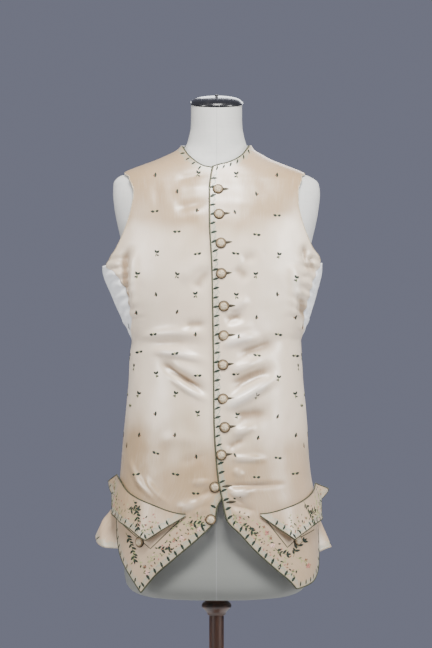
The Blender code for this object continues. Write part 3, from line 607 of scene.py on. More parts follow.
FRONT_LEFT = [
    Cut(0.1460, 0.6350, 50.0, 0.6345), Cut(0.1340, 0.6500, 68.0, 0.6440),
    Cut(0.1130, 0.6685, 80.0, 0.6650), Cut(0.0660, 0.7118, 87.0, 0.7050),
    Cut(0.0428, 0.7380, 90.0, 0.7350), Cut(0.0186, 0.7640, 93.0, 0.7600),
    Cut(0.0096, 0.8050, 96.0, 0.8050), Cut(0.0038, 0.8330, 98.0, 0.8400),
    Cut(0.0005, 0.8620, 98.0, 0.8620), Cut(-0.0046, 0.9450, 97.0, 0.9450),
    Cut(-0.0055, 1.0500, 95.0, 1.0500), Cut(-0.0060, 1.0880, 90.0, 1.0880),
    Cut(-0.0062, 1.1050, 82.0, 1.1050), Cut(-0.0065, 1.1310, 71.0, 1.1310),
    Cut(-0.0075, 1.1900, 67.5, 1.1900), Cut(-0.0082, 1.2190, 70.5, 1.2160),
    Cut(-0.0090, 1.2390, 78.0, 1.2330), Cut(-0.0105, 1.2660, 62.5, 1.2640),
    Cut(-0.0124, 1.2980, 55.0, 1.2930), Cut(-0.0131, 1.3400, 48.0, 1.3400),
    Cut(-0.0131, 1.3657, 47.5, 1.3657), Cut(-0.0106, 1.3900, 56.5, 1.3920),
    Cut(-0.0065, 1.4090, 78.0, 1.4045), Cut(0.0190, 1.4160, 78.0, 1.4190),
    Cut(0.0360, 1.4235, 78.0, 1.4270), Cut(0.0485, 1.4340, 78.0, 1.4370),
    Cut(0.0575, 1.4500, 78.0, 1.4520),
]

BACK_RIGHT = [
    Wrap(180.0, 0.7100, 128.0, 0.7150), Wrap(180.0, 0.8420, 128.0, 0.8440),
    Wrap(180.0, 0.8520, 98.0, 0.8450), Wrap(180.0, 0.9450, 97.0, 0.9450),
    Wrap(180.0, 1.0500, 93.0, 1.0500), Wrap(180.0, 1.0880, 86.0, 1.0880),
    Wrap(180.0, 1.1050, 74.0, 1.1050), Wrap(180.0, 1.1310, 62.0, 1.1310),
    Wrap(180.0, 1.1900, 58.5, 1.1900), Wrap(180.0, 1.2180, 61.5, 1.2140),
    Wrap(180.0, 1.2370, 73.0, 1.2270), Wrap(180.0, 1.2460, 81.0, 1.2240),
    Wrap(180.0, 1.2560, 90.0, 1.2235), Wrap(180.0, 1.2680, 106.0, 1.2320),
    Wrap(180.0, 1.2840, 118.0, 1.2560), Wrap(180.0, 1.3080, 124.5, 1.2850),
    Wrap(180.0, 1.3480, 127.0, 1.3340), Wrap(180.0, 1.3860, 122.0, 1.3820),
    Wrap(180.0, 1.4030, 111.0, 1.4005), Wrap(180.0, 1.4110, 95.0, 1.4050),
    Wrap(180.0, 1.4180, 78.0, 1.4050), Wrap(180.0, 1.4280, 78.0, 1.4180),
    Wrap(180.0, 1.4380, 78.0, 1.4260), Wrap(180.0, 1.4480, 78.0, 1.4370),
    Wrap(180.0, 1.4600, 78.0, 1.4520),
]

BACK_LEFT = [
    Wrap(180.0, 0.7100, 128.0, 0.7150), Wrap(180.0, 0.8420, 128.0, 0.8440),
    Wrap(180.0, 0.8520, 98.0, 0.8450), Wrap(180.0, 0.9450, 97.0, 0.9450),
    Wrap(180.0, 1.0500, 95.0, 1.0500), Wrap(180.0, 1.0880, 90.0, 1.0880),
    Wrap(180.0, 1.1050, 82.0, 1.1050), Wrap(180.0, 1.1310, 71.0, 1.1310),
    Wrap(180.0, 1.1900, 67.5, 1.1900), Wrap(180.0, 1.2190, 70.5, 1.2160),
    Wrap(180.0, 1.2390, 78.0, 1.2330), Wrap(180.0, 1.2470, 84.0, 1.2315),
    Wrap(180.0, 1.2560, 90.0, 1.2315), Wrap(180.0, 1.2680, 105.0, 1.2380),
    Wrap(180.0, 1.2840, 117.0, 1.2600), Wrap(180.0, 1.3080, 124.0, 1.2880),
    Wrap(180.0, 1.3480, 127.0, 1.3340), Wrap(180.0, 1.3860, 122.0, 1.3820),
    Wrap(180.0, 1.4030, 111.0, 1.4005), Wrap(180.0, 1.4110, 95.0, 1.4050),
    Wrap(180.0, 1.4180, 78.0, 1.4045), Wrap(180.0, 1.4280, 78.0, 1.4190),
    Wrap(180.0, 1.4380, 78.0, 1.4270), Wrap(180.0, 1.4480, 78.0, 1.4370),
    Wrap(180.0, 1.4600, 78.0, 1.4520),
]

FRONT_WALL, BACK_WALL, FLAP_WALL = 0.0016, 0.0012, 0.0016
LAYER_GAP = 0.0007
SEAM = 0.15               # degrees left open at a seam
CELL = 0.0028


def overlap_lift(x):
    """How far the wearer's left front stands off to pass over the right one."""
    return (FRONT_WALL + 1.7 * LAYER_GAP) * (1.0 - blend(0.036, 0.110, x))


def cloth_point(angle, z, right, out=0.0):
    """A place on the creased cloth, moved out from it."""
    place = on_surface(garment, angle, z, right)
    return place + outward(garment, angle, z, right) * (relief(angle, place, right) + out)


def path_tree(path):
    """A search tree over a path, and the length along it at each place."""
    tree, along = kdtree.KDTree(len(path)), [0.0]
    for i, place in enumerate(path):
        tree.insert(place, i)
        along.append(along[-1] + (path[min(i + 1, len(path) - 1)] - place).length)
    tree.balance()
    return tree, along


def grid_mesh(name, grid, flip, edge=()):
    """A strip of cloth on a grid of places. Its UV map "cloth" is laid out in metres across and
    up; "trim" holds the distance from the worked edge and the length along it, and "crease" how
    high the creases stand there."""
    rows, columns = len(grid), len(grid[0])
    bm = bmesh.new()
    trim, crease = bm.loops.layers.uv.new("trim"), bm.loops.layers.uv.new("crease")
    tree, along = path_tree(edge) if edge else (None, None)
    near, folded = {}, {}
    bmesh.ops.create_grid(bm, x_segments=columns - 1, y_segments=rows - 1, size=1.0)
    bm.verts.ensure_lookup_table()
    uv = bm.loops.layers.uv.new("cloth")
    laid = {}
    for j, row in enumerate(grid):
        across = 0.0
        for i, place in enumerate(row):
            vertex = bm.verts[j * columns + i]
            vertex.co = place
            across += (place - row[i - 1]).length if i else 0.0
            laid[vertex] = (across, place.z)
            _, found, away = tree.find(place) if edge else (None, 0, 1.0)
            near[vertex] = (away, along[found] if edge else 0.0)
            folded[vertex] = (crease_height(place.x, place.z) if edge else 0.0, 0.0)
    for face in bm.faces:
        for loop in face.loops:
            vertex = loop.vert
            loop[uv].uv, loop[trim].uv, loop[crease].uv = laid[vertex], near[vertex], folded[vertex]
    if flip:
        bmesh.ops.reverse_faces(bm, faces=bm.faces)
    return smooth_mesh(name, bm)


def cloth_piece(name, grid, flip, wall, *materials, edge=()):
    """A panel with its thickness added outwards and its lining inside."""
    made = add_piece(name, grid_mesh(name, grid, flip, edge), *materials)
    solid = made.modifiers.new("wall", "SOLIDIFY")
    solid.thickness, solid.offset = wall, 1.0
    solid.material_offset = len(materials) - 1
    return made


def keys_of(places):
    made = []
    for low, high in zip(places, places[1:]):
        steps = max(2, round((high - low) / CELL))
        made += [low + (high - low) * k / steps for k in range(steps)]
    return made + [places[-1]]


def front_grid(table, right, columns=84):
    edges = Curve([row.inner_z for row in table], table)
    grid = []
    for key in keys_of(edges.places):
        inner_x, inner_z, outer_angle, outer_z = edges.at(key)
        first, last = angle_of(inner_x, inner_z, right), outer_angle - SEAM
        row = []
        for i in range(columns + 1):
            share = i / columns
            angle, z = first + (last - first) * share, inner_z + (outer_z - inner_z) * share
            lift = 0.0 if right else overlap_lift(on_surface(garment, angle, z, right).x)
            row.append(cloth_point(angle, z, right, lift))
        grid.append(row)
    return grid


def back_grid(table, right, columns=70):
    edges = Curve([row.inner_z for row in table], table)
    grid = []
    for key in keys_of(edges.places):
        _, _, outer_angle, outer_z = edges.at(key)
        row = []
        for i in range(columns + 1):
            share = i / columns
            angle = outer_angle + SEAM + (180.0 - 2 * SEAM - outer_angle) * share
            row.append(cloth_point(angle, outer_z + (key - outer_z) * share, right))
        grid.append(row)
    return grid


SKIRT_TOP = 0.84          # where a front's outer edge becomes the side seam


def outline(grid):
    """The worked edge of a front: down its outer skirt edge, along the hem and up the inner edge."""
    skirt = [row[-1] for row in grid if row[-1].z < SKIRT_TOP]
    return skirt[::-1] + grid[0][::-1] + [row[0] for row in grid]


right_grid, left_grid = front_grid(FRONT_RIGHT, True), front_grid(FRONT_LEFT, False)
right_edge, left_edge = outline(right_grid), outline(left_grid)
front_right = cloth_piece("front_right", right_grid, True, FRONT_WALL, satin, lining, edge=right_edge)
front_left = cloth_piece("front_left", left_grid, False, FRONT_WALL, satin, lining, edge=left_edge)
back_right = cloth_piece("back_right", back_grid(BACK_RIGHT, True), True, BACK_WALL, linen, lining)
back_left = cloth_piece("back_left", back_grid(BACK_LEFT, False), False, BACK_WALL, linen, lining)
for piece, node, kind in (
        (front_right, "front_right", "silk_satin"), (front_left, "front_left", "silk_satin"),
        (back_right, "back_right", "back_linen"), (back_left, "back_left", "back_linen")):
    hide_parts(node)
    print(piece.name, len(piece.data.polygons), "cells")

# %% [markdown]
# ## Skirt gores and pocket flaps
# A gore lies inside the front skirt as far as that skirt's edge, then stands out in a soft fold
# that its hem shows best. A flap is sewn on along its curved top edge and hangs to two points:
# one on the skirt, and one that stands free at the side.

# %% Gores and flaps
Gore = namedtuple("Gore", "angle hem_z top_z out")
Flap = namedtuple("Flap", "angle top_z hem_z top_out hem_out")

GORE_RIGHT = [
    Gore(74.0, 0.7020, 0.8420, 0.000), Gore(84.0, 0.7030, 0.8420, 0.020),
    Gore(90.0, 0.7090, 0.8420, 0.034), Gore(96.0, 0.7205, 0.8420, 0.040),
    Gore(103.0, 0.7190, 0.8420, 0.030), Gore(112.0, 0.7130, 0.8420, 0.011),
    Gore(126.6, 0.7150, 0.8420, 0.002),
]
GORE_LEFT = [
    Gore(74.0, 0.6900, 0.8420, 0.000), Gore(84.0, 0.6890, 0.8420, 0.014),
    Gore(90.0, 0.6910, 0.8420, 0.024), Gore(96.0, 0.6990, 0.8420, 0.027),
    Gore(103.0, 0.7030, 0.8420, 0.022), Gore(112.0, 0.7100, 0.8420, 0.011),
    Gore(126.6, 0.7150, 0.8420, 0.002),
]
FLAP_RIGHT = [
    Flap(15.5, 0.7745, 0.7710, 0.0000, 0.0000), Flap(39.5, 0.7920, 0.7250, 0.0004, 0.0080),
    Flap(58.0, 0.8080, 0.7500, 0.0006, 0.0080), Flap(78.0, 0.8310, 0.7640, 0.0010, 0.0070),
    Flap(90.0, 0.8375, 0.7700, 0.0030, 0.0085), Flap(96.0, 0.8310, 0.8000, 0.0110, 0.0110),
    Flap(104.0, 0.8190, 0.8165, 0.0260, 0.0255),
]
FLAP_LEFT = [
    Flap(23.0, 0.7745, 0.7710, 0.0000, 0.0000), Flap(44.5, 0.7860, 0.7260, 0.0004, 0.0080),
    Flap(62.0, 0.7990, 0.7480, 0.0006, 0.0080), Flap(80.0, 0.8140, 0.7560, 0.0010, 0.0060),
    Flap(90.0, 0.8210, 0.7640, 0.0030, 0.0070), Flap(95.0, 0.8150, 0.7900, 0.0110, 0.0100),
    Flap(102.0, 0.8040, 0.8015, 0.0300, 0.0295),
]
GORE_IN = -0.0046         # how far inside the skirt's surface a gore lies
GORE_FREE = (5.0, 11.5)   # degrees past the skirt's edge between which it swings clear
FLAP_BASE = FRONT_WALL + 2 * LAYER_GAP


def straight(rows, place):
    """The table's row at a place, on straight lines between its rows."""
    i = min(max(bisect_right([row[0] for row in rows], place) - 1, 0), len(rows) - 2)
    share = (place - rows[i][0]) / (rows[i + 1][0] - rows[i][0])
    return [a + (b - a) * share for a, b in zip(rows[i], rows[i + 1])]


def skirt_edge(table, z):
    """The angle of a front's outer edge at a height."""
    return straight([(row.outer_z, row.outer_angle) for row in table[:8]], z)[1]


def gore_point(cuts, angle, z, up, stand, right, out=0.0):
    """A place on a gore: under the skirt it lies close, and past its edge it swings out."""
    edge = skirt_edge(cuts, z)
    clear = blend(edge + GORE_FREE[0], edge + GORE_FREE[1], angle) * (1.0 - up) ** 1.1
    return cloth_point(angle, z, right, GORE_IN + (stand - GORE_IN) * clear + out)


def gore_grid(table, cuts, right, rows=48, columns=84):
    edges = Curve([row.angle for row in table], table)
    width, grid = table[-1].angle - table[0].angle, []
    for j in range(rows + 1):
        up, row = j / rows, []
        for i in range(columns + 1):
            angle, hem_z, top_z, stand = edges.at(table[0].angle + width * i / columns)
            row.append(gore_point(cuts, angle, hem_z + (top_z - hem_z) * up, up, stand, right))
        grid.append(row)
    return grid


def flap_point(table, angle, level, right, out=0.0):
    """A place on a flap: level 0 at its free edge and 1 at its sewn edge."""
    _, _, hem_z, _, hem_out = straight(table, angle)
    _, top_z, _, top_out, _ = Curve([row.angle for row in table], table).at(angle)
    curl = 0.0012 * math.sin(angle * 0.33) * (1.0 - level)
    lie = FLAP_BASE + hem_out + (top_out - hem_out) * level + curl
    return cloth_point(angle, hem_z + (top_z - hem_z) * level, right, lie + out)


def flap_grid(table, right, rows=26, columns=80):
    angles = [table[0].angle + (table[-1].angle - table[0].angle) * i / columns for i in range(columns + 1)]
    for row in table[1:-1]:
        nearest = min(range(columns + 1), key=lambda i: abs(angles[i] - row.angle))
        angles[nearest] = row.angle
    return [[flap_point(table, angle, j / rows, right) for angle in angles] for j in range(rows + 1)]


gores, flaps = {}, {}
for side, gore_table, cuts, flap_table in (
        ("right", GORE_RIGHT, FRONT_RIGHT, FLAP_RIGHT), ("left", GORE_LEFT, FRONT_LEFT, FLAP_LEFT)):
    right = side == "right"
    grid = gore_grid(gore_table, cuts, right)
    gores[side] = cloth_piece(f"skirt_gore_{side}", grid, right, BACK_WALL, satin, lining, edge=grid[0])
    grid = flap_grid(flap_table, right)
    flaps[side] = cloth_piece(f"pocket_flap_{side}", grid, right, FLAP_WALL, satin, lining, edge=grid[0])
    for piece, node in ((gores[side], f"skirt_gore_{side}"), (flaps[side], f"pocket_flap_{side}")):
        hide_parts(node)
        print(piece.name, len(piece.data.polygons), "cells")

# %% [markdown]
# ## The form and its stand
# The form is canvas over a smooth body, painted white, with a seam down the middle of the front
# and the back and one at each side. Its neck is cut at a slant and closed by a black cap with a
# small knob. Below it a turned collar and a post of dark wood stand on a round foot.

# %% Form and stand materials
def canvas_material():
    made, tree, shader = new_material("form_cover", roughness=0.72, specular_ior_level=0.35)
    body = object_place(tree)
    x, y, z = [add_node(tree, "ShaderNodeSeparateXYZ", {0: body}, i) for i in range(3)]
    cloud = grain(tree, body, 6.0, (1, 1, 1), 3.0)
    weave = grain(tree, body, 700.0, (1, 1, 1), 1.0)
    seam = ramp(tree, x.math("ABSOLUTE"), 0.0013, 0.0004)
    side = ramp(tree, (y - 0.004).math("ABSOLUTE"), 0.0013, 0.0004)
    lines = seam.math("MAXIMUM", side * ramp(tree, z, 1.30, 1.29))
    white, dusty = (0.610, 0.612, 0.590), (0.520, 0.522, 0.500)
    base = mix_colours(tree, ramp(tree, cloud, 0.35, 0.7), white, dusty)
    upright = grain(tree, body, 260.0, (1.0, 1.0, 0.12), 2.0)
    level = grain(tree, body, 260.0, (0.12, 0.12, 1.0), 2.0)
    threads = upright * 0.5 + level * 0.5
    base = mix_colours(tree, ramp(tree, threads, 0.46, 0.58) * 0.18, base, (0.440, 0.455, 0.440))
    # Painted shade: the canvas is darkened towards the bottom of the form, under the skirts.
    base = mix_colours(tree, ramp(tree, z, 0.90, 0.68) * 0.95, base, (0.170, 0.178, 0.165))
    base = mix_colours(tree, ramp(tree, z, 1.42, 1.50) * 0.30, base, (0.330, 0.325, 0.300))
    base = mix_colours(tree, ramp(tree, z, 1.515, 1.535) * 0.25, base, (0.300, 0.300, 0.290))
    base = mix_colours(tree, lines * 0.38, base, (0.320, 0.330, 0.330))
    feed(tree, shader, base_color=base, normal=bump(tree, weave - lines * 2.0, 0.2, 0.0005))
    return made


def wood_material():
    made, tree, shader = new_material("stand_wood", coat_weight=0.3, coat_roughness=0.25)
    body = object_place(tree)
    streak = grain(tree, body, 60.0, (1.0, 1.0, 0.10), 4.0, 0.6)
    dark, warm = (0.022, 0.009, 0.005), (0.075, 0.031, 0.015)
    base = mix_colours(tree, ramp(tree, streak, 0.35, 0.7), dark, warm)
    feed(tree, shader, base_color=base, roughness=streak * 0.2 + 0.3,
         normal=bump(tree, streak, 0.1, 0.0004))
    return made


def enamel_material():
    made, tree, shader = new_material("cap_enamel", coat_weight=0.4, coat_roughness=0.1)
    dust = grain(tree, object_place(tree), 90.0, (1, 1, 1), 4.0)
    black, grey = (0.010, 0.010, 0.012), (0.060, 0.058, 0.055)
    base = mix_colours(tree, ramp(tree, dust, 0.5, 0.8) * 0.25, black, grey)
    feed(tree, shader, base_color=base, roughness=dust * 0.2 + 0.18)
    return made


canvas, wood, enamel = canvas_material(), wood_material(), enamel_material()
print("materials", canvas.name, wood.name, enamel.name)


# %% Form, cap and stand
NECK_TOP, NECK_TILT = 1.5305, 12.0
COLLAR_TOP, COLLAR_HIGH, POST_RADIUS = 0.6093, 0.0333, 0.0138
FOOT_RADIUS, FOOT_HIGH, REST = 0.175, 0.046, 0.0003


def form_rings(sides=112):
    levels = [form.places[0] + (form.places[-1] - form.places[0]) * (i / 190) for i in range(191)]
    levels = sorted(set(levels) | {0.6105, 0.6112, 0.6125, 0.6145, 0.6170, 0.6205})
    for z in levels + [None]:
        height, lean = (z, 0.0) if z else (form.places[-1], NECK_TILT)
        middle = form.at(height)[5]
        ring = []
        for i in range(sides):
            turn = 360.0 * i / sides
            right = turn > 180.0
            place = on_surface(form, 360.0 - turn if right else turn, height, right)
            place.z += math.tan(math.radians(lean)) * (place.y - middle)
            ring.append(place + (Vector((0, 0, 0)) if z else Vector((0, 0, NECK_TOP - height))))
        yield ring


def ring_mesh(name, rings):
    """A closed body through rings of places, from the bottom up."""
    bm = bmesh.new()
    made = [[bm.verts.new(place) for place in ring] for ring in rings]
    edges = [bm.edges.new((ring[i - 1], ring[i])) for ring in made for i in range(len(ring))]
    size = len(made[0])
    for k in range(len(made) - 1):
        bmesh.ops.bridge_loops(bm, edges=edges[k * size:(k + 2) * size])
    for ring in (made[0][::-1], made[-1]):
        bm.faces.new(ring)
    bmesh.ops.recalc_face_normals(bm, faces=bm.faces)
    return smooth_mesh(name, bm, 50.0)


def turned_mesh(name, profile, sides=72):
    """A turned body: its half outline from the top down, spun round Z."""
    bm = bmesh.new()
    line = [bm.verts.new((radius, 0.0, z)) for radius, z in profile]
    edges = [bm.edges.new(pair) for pair in zip(line, line[1:])]
    bmesh.ops.spin(bm, geom=line + edges, cent=(0, 0, 0), axis=(0, 0, 1), angle=math.tau,
                   steps=sides, use_duplicate=False)
    bmesh.ops.remove_doubles(bm, verts=bm.verts, dist=0.00005)
    bmesh.ops.recalc_face_normals(bm, faces=bm.faces)
    return smooth_mesh(name, bm, 38.0)


def rounded(profile, radius=0.0008, steps=3):
    """The outline with each inner corner cut to a short curve."""
    made = [profile[0]]
    for before, here, after in zip(profile, profile[1:], profile[2:]):
        a, b, c = Vector(before), Vector(here), Vector(after)
        cut = min(radius, (a - b).length * 0.45, (c - b).length * 0.45)
        first, last = b + (a - b).normalized() * cut, b + (c - b).normalized() * cut
        for k in range(steps + 1):
            t = k / steps
            made.append(tuple(first * (1 - t) ** 2 + b * 2 * t * (1 - t) + last * t * t))
    return made + [profile[-1]]


def hard_piece(name, mesh, paint):
    made = add_piece(name, mesh, paint)
    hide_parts(name)
    print(name, len(mesh.polygons), "faces")
    return made


hard_piece("form_torso", ring_mesh("form_torso", list(form_rings())), canvas)

seat_y = FORM[-1].middle + (FORM[-1].back - FORM[-1].front) / 2
tilt = (Matrix.Translation((0.0, seat_y, NECK_TOP + 2 * REST))
        @ Matrix.Rotation(math.radians(NECK_TILT), 4, "X"))
crown = [(0.0, 0.0140)] + [
    (0.0473 * math.sin(math.radians(9.0 * i)) ** 0.8, 0.0035 + 0.0105 * math.cos(math.radians(9.0 * i)))
    for i in range(1, 11)]
cap_mesh = turned_mesh("neck_cap", rounded(crown + [(0.0496, 0.0035), (0.0496, 0.0), (0.0, 0.0)]))
cap_mesh.transform(tilt)
knob = [(0.0, 0.0040), (0.0022, 0.0036), (0.0034, 0.0022), (0.0030, 0.0008), (0.0034, 0.0), (0.0, 0.0)]
knob_mesh = turned_mesh("cap_knob", rounded(knob, 0.0004), 32)
knob_mesh.transform(tilt @ Matrix.Translation((0.0, 0.0, 0.0140 + REST)))
hard_piece("neck_cap", cap_mesh, enamel)
hard_piece("cap_knob", knob_mesh, enamel)

under = COLLAR_TOP - COLLAR_HIGH
collar = [(0.0, 0.0), (0.0225, 0.0), (0.0214, 0.004), (0.0222, 0.008), (0.0236, 0.0095), (0.0262, 0.0112),
          (0.0277, 0.0140), (0.0280, 0.0160), (0.0272, 0.0190), (0.0250, 0.0210), (0.0222, 0.0240),
          (0.0192, 0.0268), (0.0174, 0.0300), (0.0166, COLLAR_HIGH), (0.0, COLLAR_HIGH)]
hard_piece("stand_collar", turned_mesh("stand_collar", rounded(
    [(radius, COLLAR_TOP - drop) for radius, drop in collar], 0.0012)), wood)
hard_piece("stand_post", turned_mesh("stand_post", rounded(
    [(0.0, under - REST), (POST_RADIUS, under - REST), (POST_RADIUS, FOOT_HIGH + REST),
     (0.0, FOOT_HIGH + REST)], 0.0006), 48), wood)
foot = [(0.0, 0.0), (0.024, 0.0), (0.027, 0.006), (0.040, 0.012), (0.090, 0.016), (0.140, 0.020),
        (0.158, 0.024), (0.162, 0.030), (0.170, 0.032), (FOOT_RADIUS, 0.036), (FOOT_RADIUS, 0.043),
        (FOOT_RADIUS - 0.003, FOOT_HIGH), (0.0, FOOT_HIGH)]
hard_piece("stand_foot", turned_mesh("stand_foot", rounded(
    [(radius, FOOT_HIGH - drop) for radius, drop in foot], 0.0025, 4), 120), wood)

# %% [markdown]
# ## Threads
# The embroidery is silk: dark green and a few lighter greens for the leaves, pinks and browns for
# the flowers, and an olive cord round every edge. Its stitches run across each leaf, so the shine
# is broken into fine lines. The buttons are worked over moulds in cream and gilt thread.

# %% Thread materials
def thread_material(name, colour, shade, rough=0.6):
    made, tree, shader = new_material(name, specular_ior_level=0.35)
    place = object_place(tree)
    twist = grain(tree, place, 1100.0, (1.0, 0.5, 0.25), 2.0)
    base = mix_colours(tree, ramp(tree, twist, 0.35, 0.7), colour, shade)
    feed(tree, shader, base_color=base, roughness=twist * 0.2 + (rough - 0.1),
         normal=bump(tree, twist, 0.35, 0.0003))
    return made


THREADS = {
    "dark_green": ((0.007, 0.014, 0.009), (0.024, 0.040, 0.024)),
    "moss": ((0.085, 0.115, 0.045), (0.170, 0.200, 0.090)),
    "yellow_green": ((0.300, 0.320, 0.130), (0.440, 0.450, 0.230)),
    "aqua": ((0.230, 0.290, 0.235), (0.400, 0.450, 0.380)),
    "rose": ((0.330, 0.110, 0.085), (0.520, 0.250, 0.200)),
    "pink": ((0.560, 0.330, 0.280), (0.700, 0.480, 0.420)),
    "brown": ((0.170, 0.080, 0.045), (0.290, 0.160, 0.090)),
    "cream": ((0.380, 0.300, 0.190), (0.640, 0.550, 0.410)),
    "gilt": ((0.130, 0.088, 0.045), (0.330, 0.245, 0.140)),
    "olive": ((0.030, 0.034, 0.018), (0.085, 0.090, 0.052)),
    # shadow is painted shade: a near-black for the buttonhole slits and the round under each button.
    "shadow": ((0.025, 0.019, 0.010), (0.070, 0.052, 0.030)),
}
thread = {name: thread_material(name + "_silk", *pair) for name, pair in THREADS.items()}
KINDS = list(thread)
print(len(thread), "threads")


# %% [markdown]
# ## Stitching
# A worker chalks a design flat and sews it on. Here too each motif is drawn flat, in metres
# across and up, and every point of it is then placed on the creased cloth. All the work on one
# panel is joined as one piece.

# %% A needle
class Needle:
    """Gathers the stitches on one panel. `lay` turns a flat place into one on the cloth."""

    def __init__(self, lay):
        self.lay, self.bm = lay, bmesh.new()

    def patch(self, flat, kind):
        """A grid of flat places with heights."""
        rows, columns = len(flat), len(flat[0])
        verts = [[self.bm.verts.new(self.lay(x, z, 0.00015 + out)) for x, z, out in row] for row in flat]
        for j in range(rows - 1):
            for i in range(columns - 1):
                corners = verts[j][i], verts[j][i + 1], verts[j + 1][i + 1], verts[j + 1][i]
                face = self.bm.faces.new(corners)
                face.material_index = KINDS.index(kind)

    def leaf(self, x, z, turn, long, wide, kind="dark_green", bend=0.0, rise=0.0):
        """A padded satin-stitch leaf from its foot, pointing along turn in degrees."""
        flat = []
        for j in range(7):
            t = j / 6
            heading = math.radians(turn + bend * t)
            cx, cz = x + math.cos(heading) * long * t, z + math.sin(heading) * long * t
            half = wide / 2 * (math.sin(math.pi * min(0.97, 0.06 + 0.94 * t)) ** 0.8 + 0.05)
            flat.append([(cx - math.sin(heading) * half * s, cz + math.cos(heading) * half * s,
                          rise + 0.00045 * (1 - s * s)) for s in (-1.0, -0.5, 0.0, 0.5, 1.0)])
        self.patch(flat, kind)

    def stem(self, places, wide, kind="moss"):
        """A line of stem stitch through flat places."""
        flat = []
        for i, (x, z) in enumerate(places):
            ax, az = places[max(i - 1, 0)]
            bx, bz = places[min(i + 1, len(places) - 1)]
            length = math.hypot(bx - ax, bz - az) or 1.0
            nx, nz = -(bz - az) / length * wide / 2, (bx - ax) / length * wide / 2
            flat.append([(x + nx * s, z + nz * s, 0.00035 * (1 - s * s)) for s in (-1.0, 0.0, 1.0)])
        self.patch(flat, kind)

    def flower(self, x, z, size, kind="pink", heart="gilt", petals=5, turn=0.0):
        for k in range(petals):
            self.leaf(x, z, turn + 360.0 * k / petals, size, size * 0.75, kind)
        self.leaf(x - size * 0.25, z, 0.0, size * 0.5, size * 0.45, heart)

    def finish(self, name):
        bmesh.ops.recalc_face_normals(self.bm, faces=self.bm.faces)
        made = add_piece(name, smooth_mesh(name, self.bm), *thread.values())
        print(name, len(made.data.polygons), "stitch faces")
        return made


def front_lay(right):
    """Flat places on a front: x from the centre, z the height."""
    def lay(x, z, out):
        angle = angle_of(x, z, right)
        lift = 0.0 if right else overlap_lift(x)
        return cloth_point(angle, z, right, FRONT_WALL + lift + out)
    return lay


ROUND = 0.160             # the length round the body of one radian at the side


def wrapped(angle, z):
    """The flat place of an angle and a height: how far it lies in front of the side."""
    return math.radians(90.0 - angle) * ROUND, z


def wrap_lay(right):
    """Flat places towards the side, on a front."""
    def lay(x, z, out):
        return cloth_point(90.0 - math.degrees(x / ROUND), z, right, FRONT_WALL + out)
    return lay


def flap_lay(table, right):
    """Flat places on a flap, wrapped in the same way."""
    tops = Curve([row.angle for row in table], table)

    def lay(x, z, out):
        angle = min(table[-1][0], max(table[0][0], 90.0 - math.degrees(x / ROUND)))
        hem_z, top_z = straight(table, angle)[2], tops.at(angle)[1]
        level = min(1.0, max(0.0, (z - hem_z) / max(0.002, top_z - hem_z)))
        return flap_point(table, angle, level, right, FLAP_WALL + out)
    return lay


def gore_lay(table, cuts, right):
    """Flat places on a gore, wrapped in the same way."""
    edges = Curve([row.angle for row in table], table)

    def lay(x, z, out):
        angle = min(table[-1][0], max(table[0][0], 90.0 - math.degrees(x / ROUND)))
        _, hem_z, top_z, stand = edges.at(angle)
        up = min(1.0, max(0.0, (z - hem_z) / (top_z - hem_z)))
        return gore_point(cuts, angle, z, up, stand, right, BACK_WALL + out)
    return lay


def cord_mesh(name, places, radius):
    """A fine cord along places on the cloth."""
    curve = bpy.data.curves.new(name, "CURVE")
    curve.dimensions, curve.bevel_depth, curve.bevel_resolution = "3D", radius, 1
    curve.use_fill_caps = True
    spline = curve.splines.new("POLY")
    spline.points.add(len(places) - 1)
    for point, place in zip(spline.points, places):
        point.co = (*place, 1.0)
    holder = bpy.data.objects.new(name, curve)
    mesh = bpy.data.meshes.new_from_object(holder)
    bpy.data.objects.remove(holder)
    bm = bmesh.new()
    bm.from_mesh(mesh)
    bmesh.ops.remove_doubles(bm, verts=bm.verts, dist=0.00001)
    return smooth_mesh(name, bm)

# %% [markdown]
# ## The worked edges
# A fine olive cord finishes every edge. Inside it runs a row of dark leaves, each slanting up
# and away from the edge, on a pale ground of scrolls. They stand a thumb's breadth apart, a
# little uneven, as handwork is.

# %% Cords and edge leaves
chance = random.Random(1785)
LEAF_STEP, LEAF_IN = 0.0168, 0.0066


def edge_places(table):
    """Places along a front's inner edge, from the hem tip to the shoulder."""
    edges = Curve([row.inner_z for row in table], table)
    return [tuple(edges.at(key)[:2]) for key in keys_of(edges.places)]


def along_path(path, step, start=0.5):
    """Places at even steps along a flat path, with the direction there in degrees."""
    travelled, wanted = 0.0, step * start
    for (ax, az), (bx, bz) in zip(path, path[1:]):
        length = math.hypot(bx - ax, bz - az)
        while travelled + length >= wanted and length:
            share = (wanted - travelled) / length
            turn = math.degrees(math.atan2(bz - az, bx - ax))
            yield ax + (bx - ax) * share, az + (bz - az) * share, turn
            wanted += step
        travelled += length


def edge_leaves(needle, path, step, inside, lean, long=0.0110, wide=0.0046):
    """Slanting leaves beside a path; inside is +1 or -1 for the side they lie on."""
    for x, z, turn in along_path(path, step):
        heading = math.radians(turn + 90.0 * inside)
        away = LEAF_IN + chance.uniform(-0.0006, 0.0006)
        slant = turn + inside * lean + chance.uniform(-7.0, 7.0)
        lx = x + math.cos(heading) * away - math.cos(math.radians(slant)) * long / 2
        lz = z + math.sin(heading) * away - math.sin(math.radians(slant)) * long / 2
        needle.leaf(lx, lz, slant, long * chance.uniform(0.9, 1.1), wide * chance.uniform(0.85, 1.1),
                    "dark_green", bend=inside * 10.0)


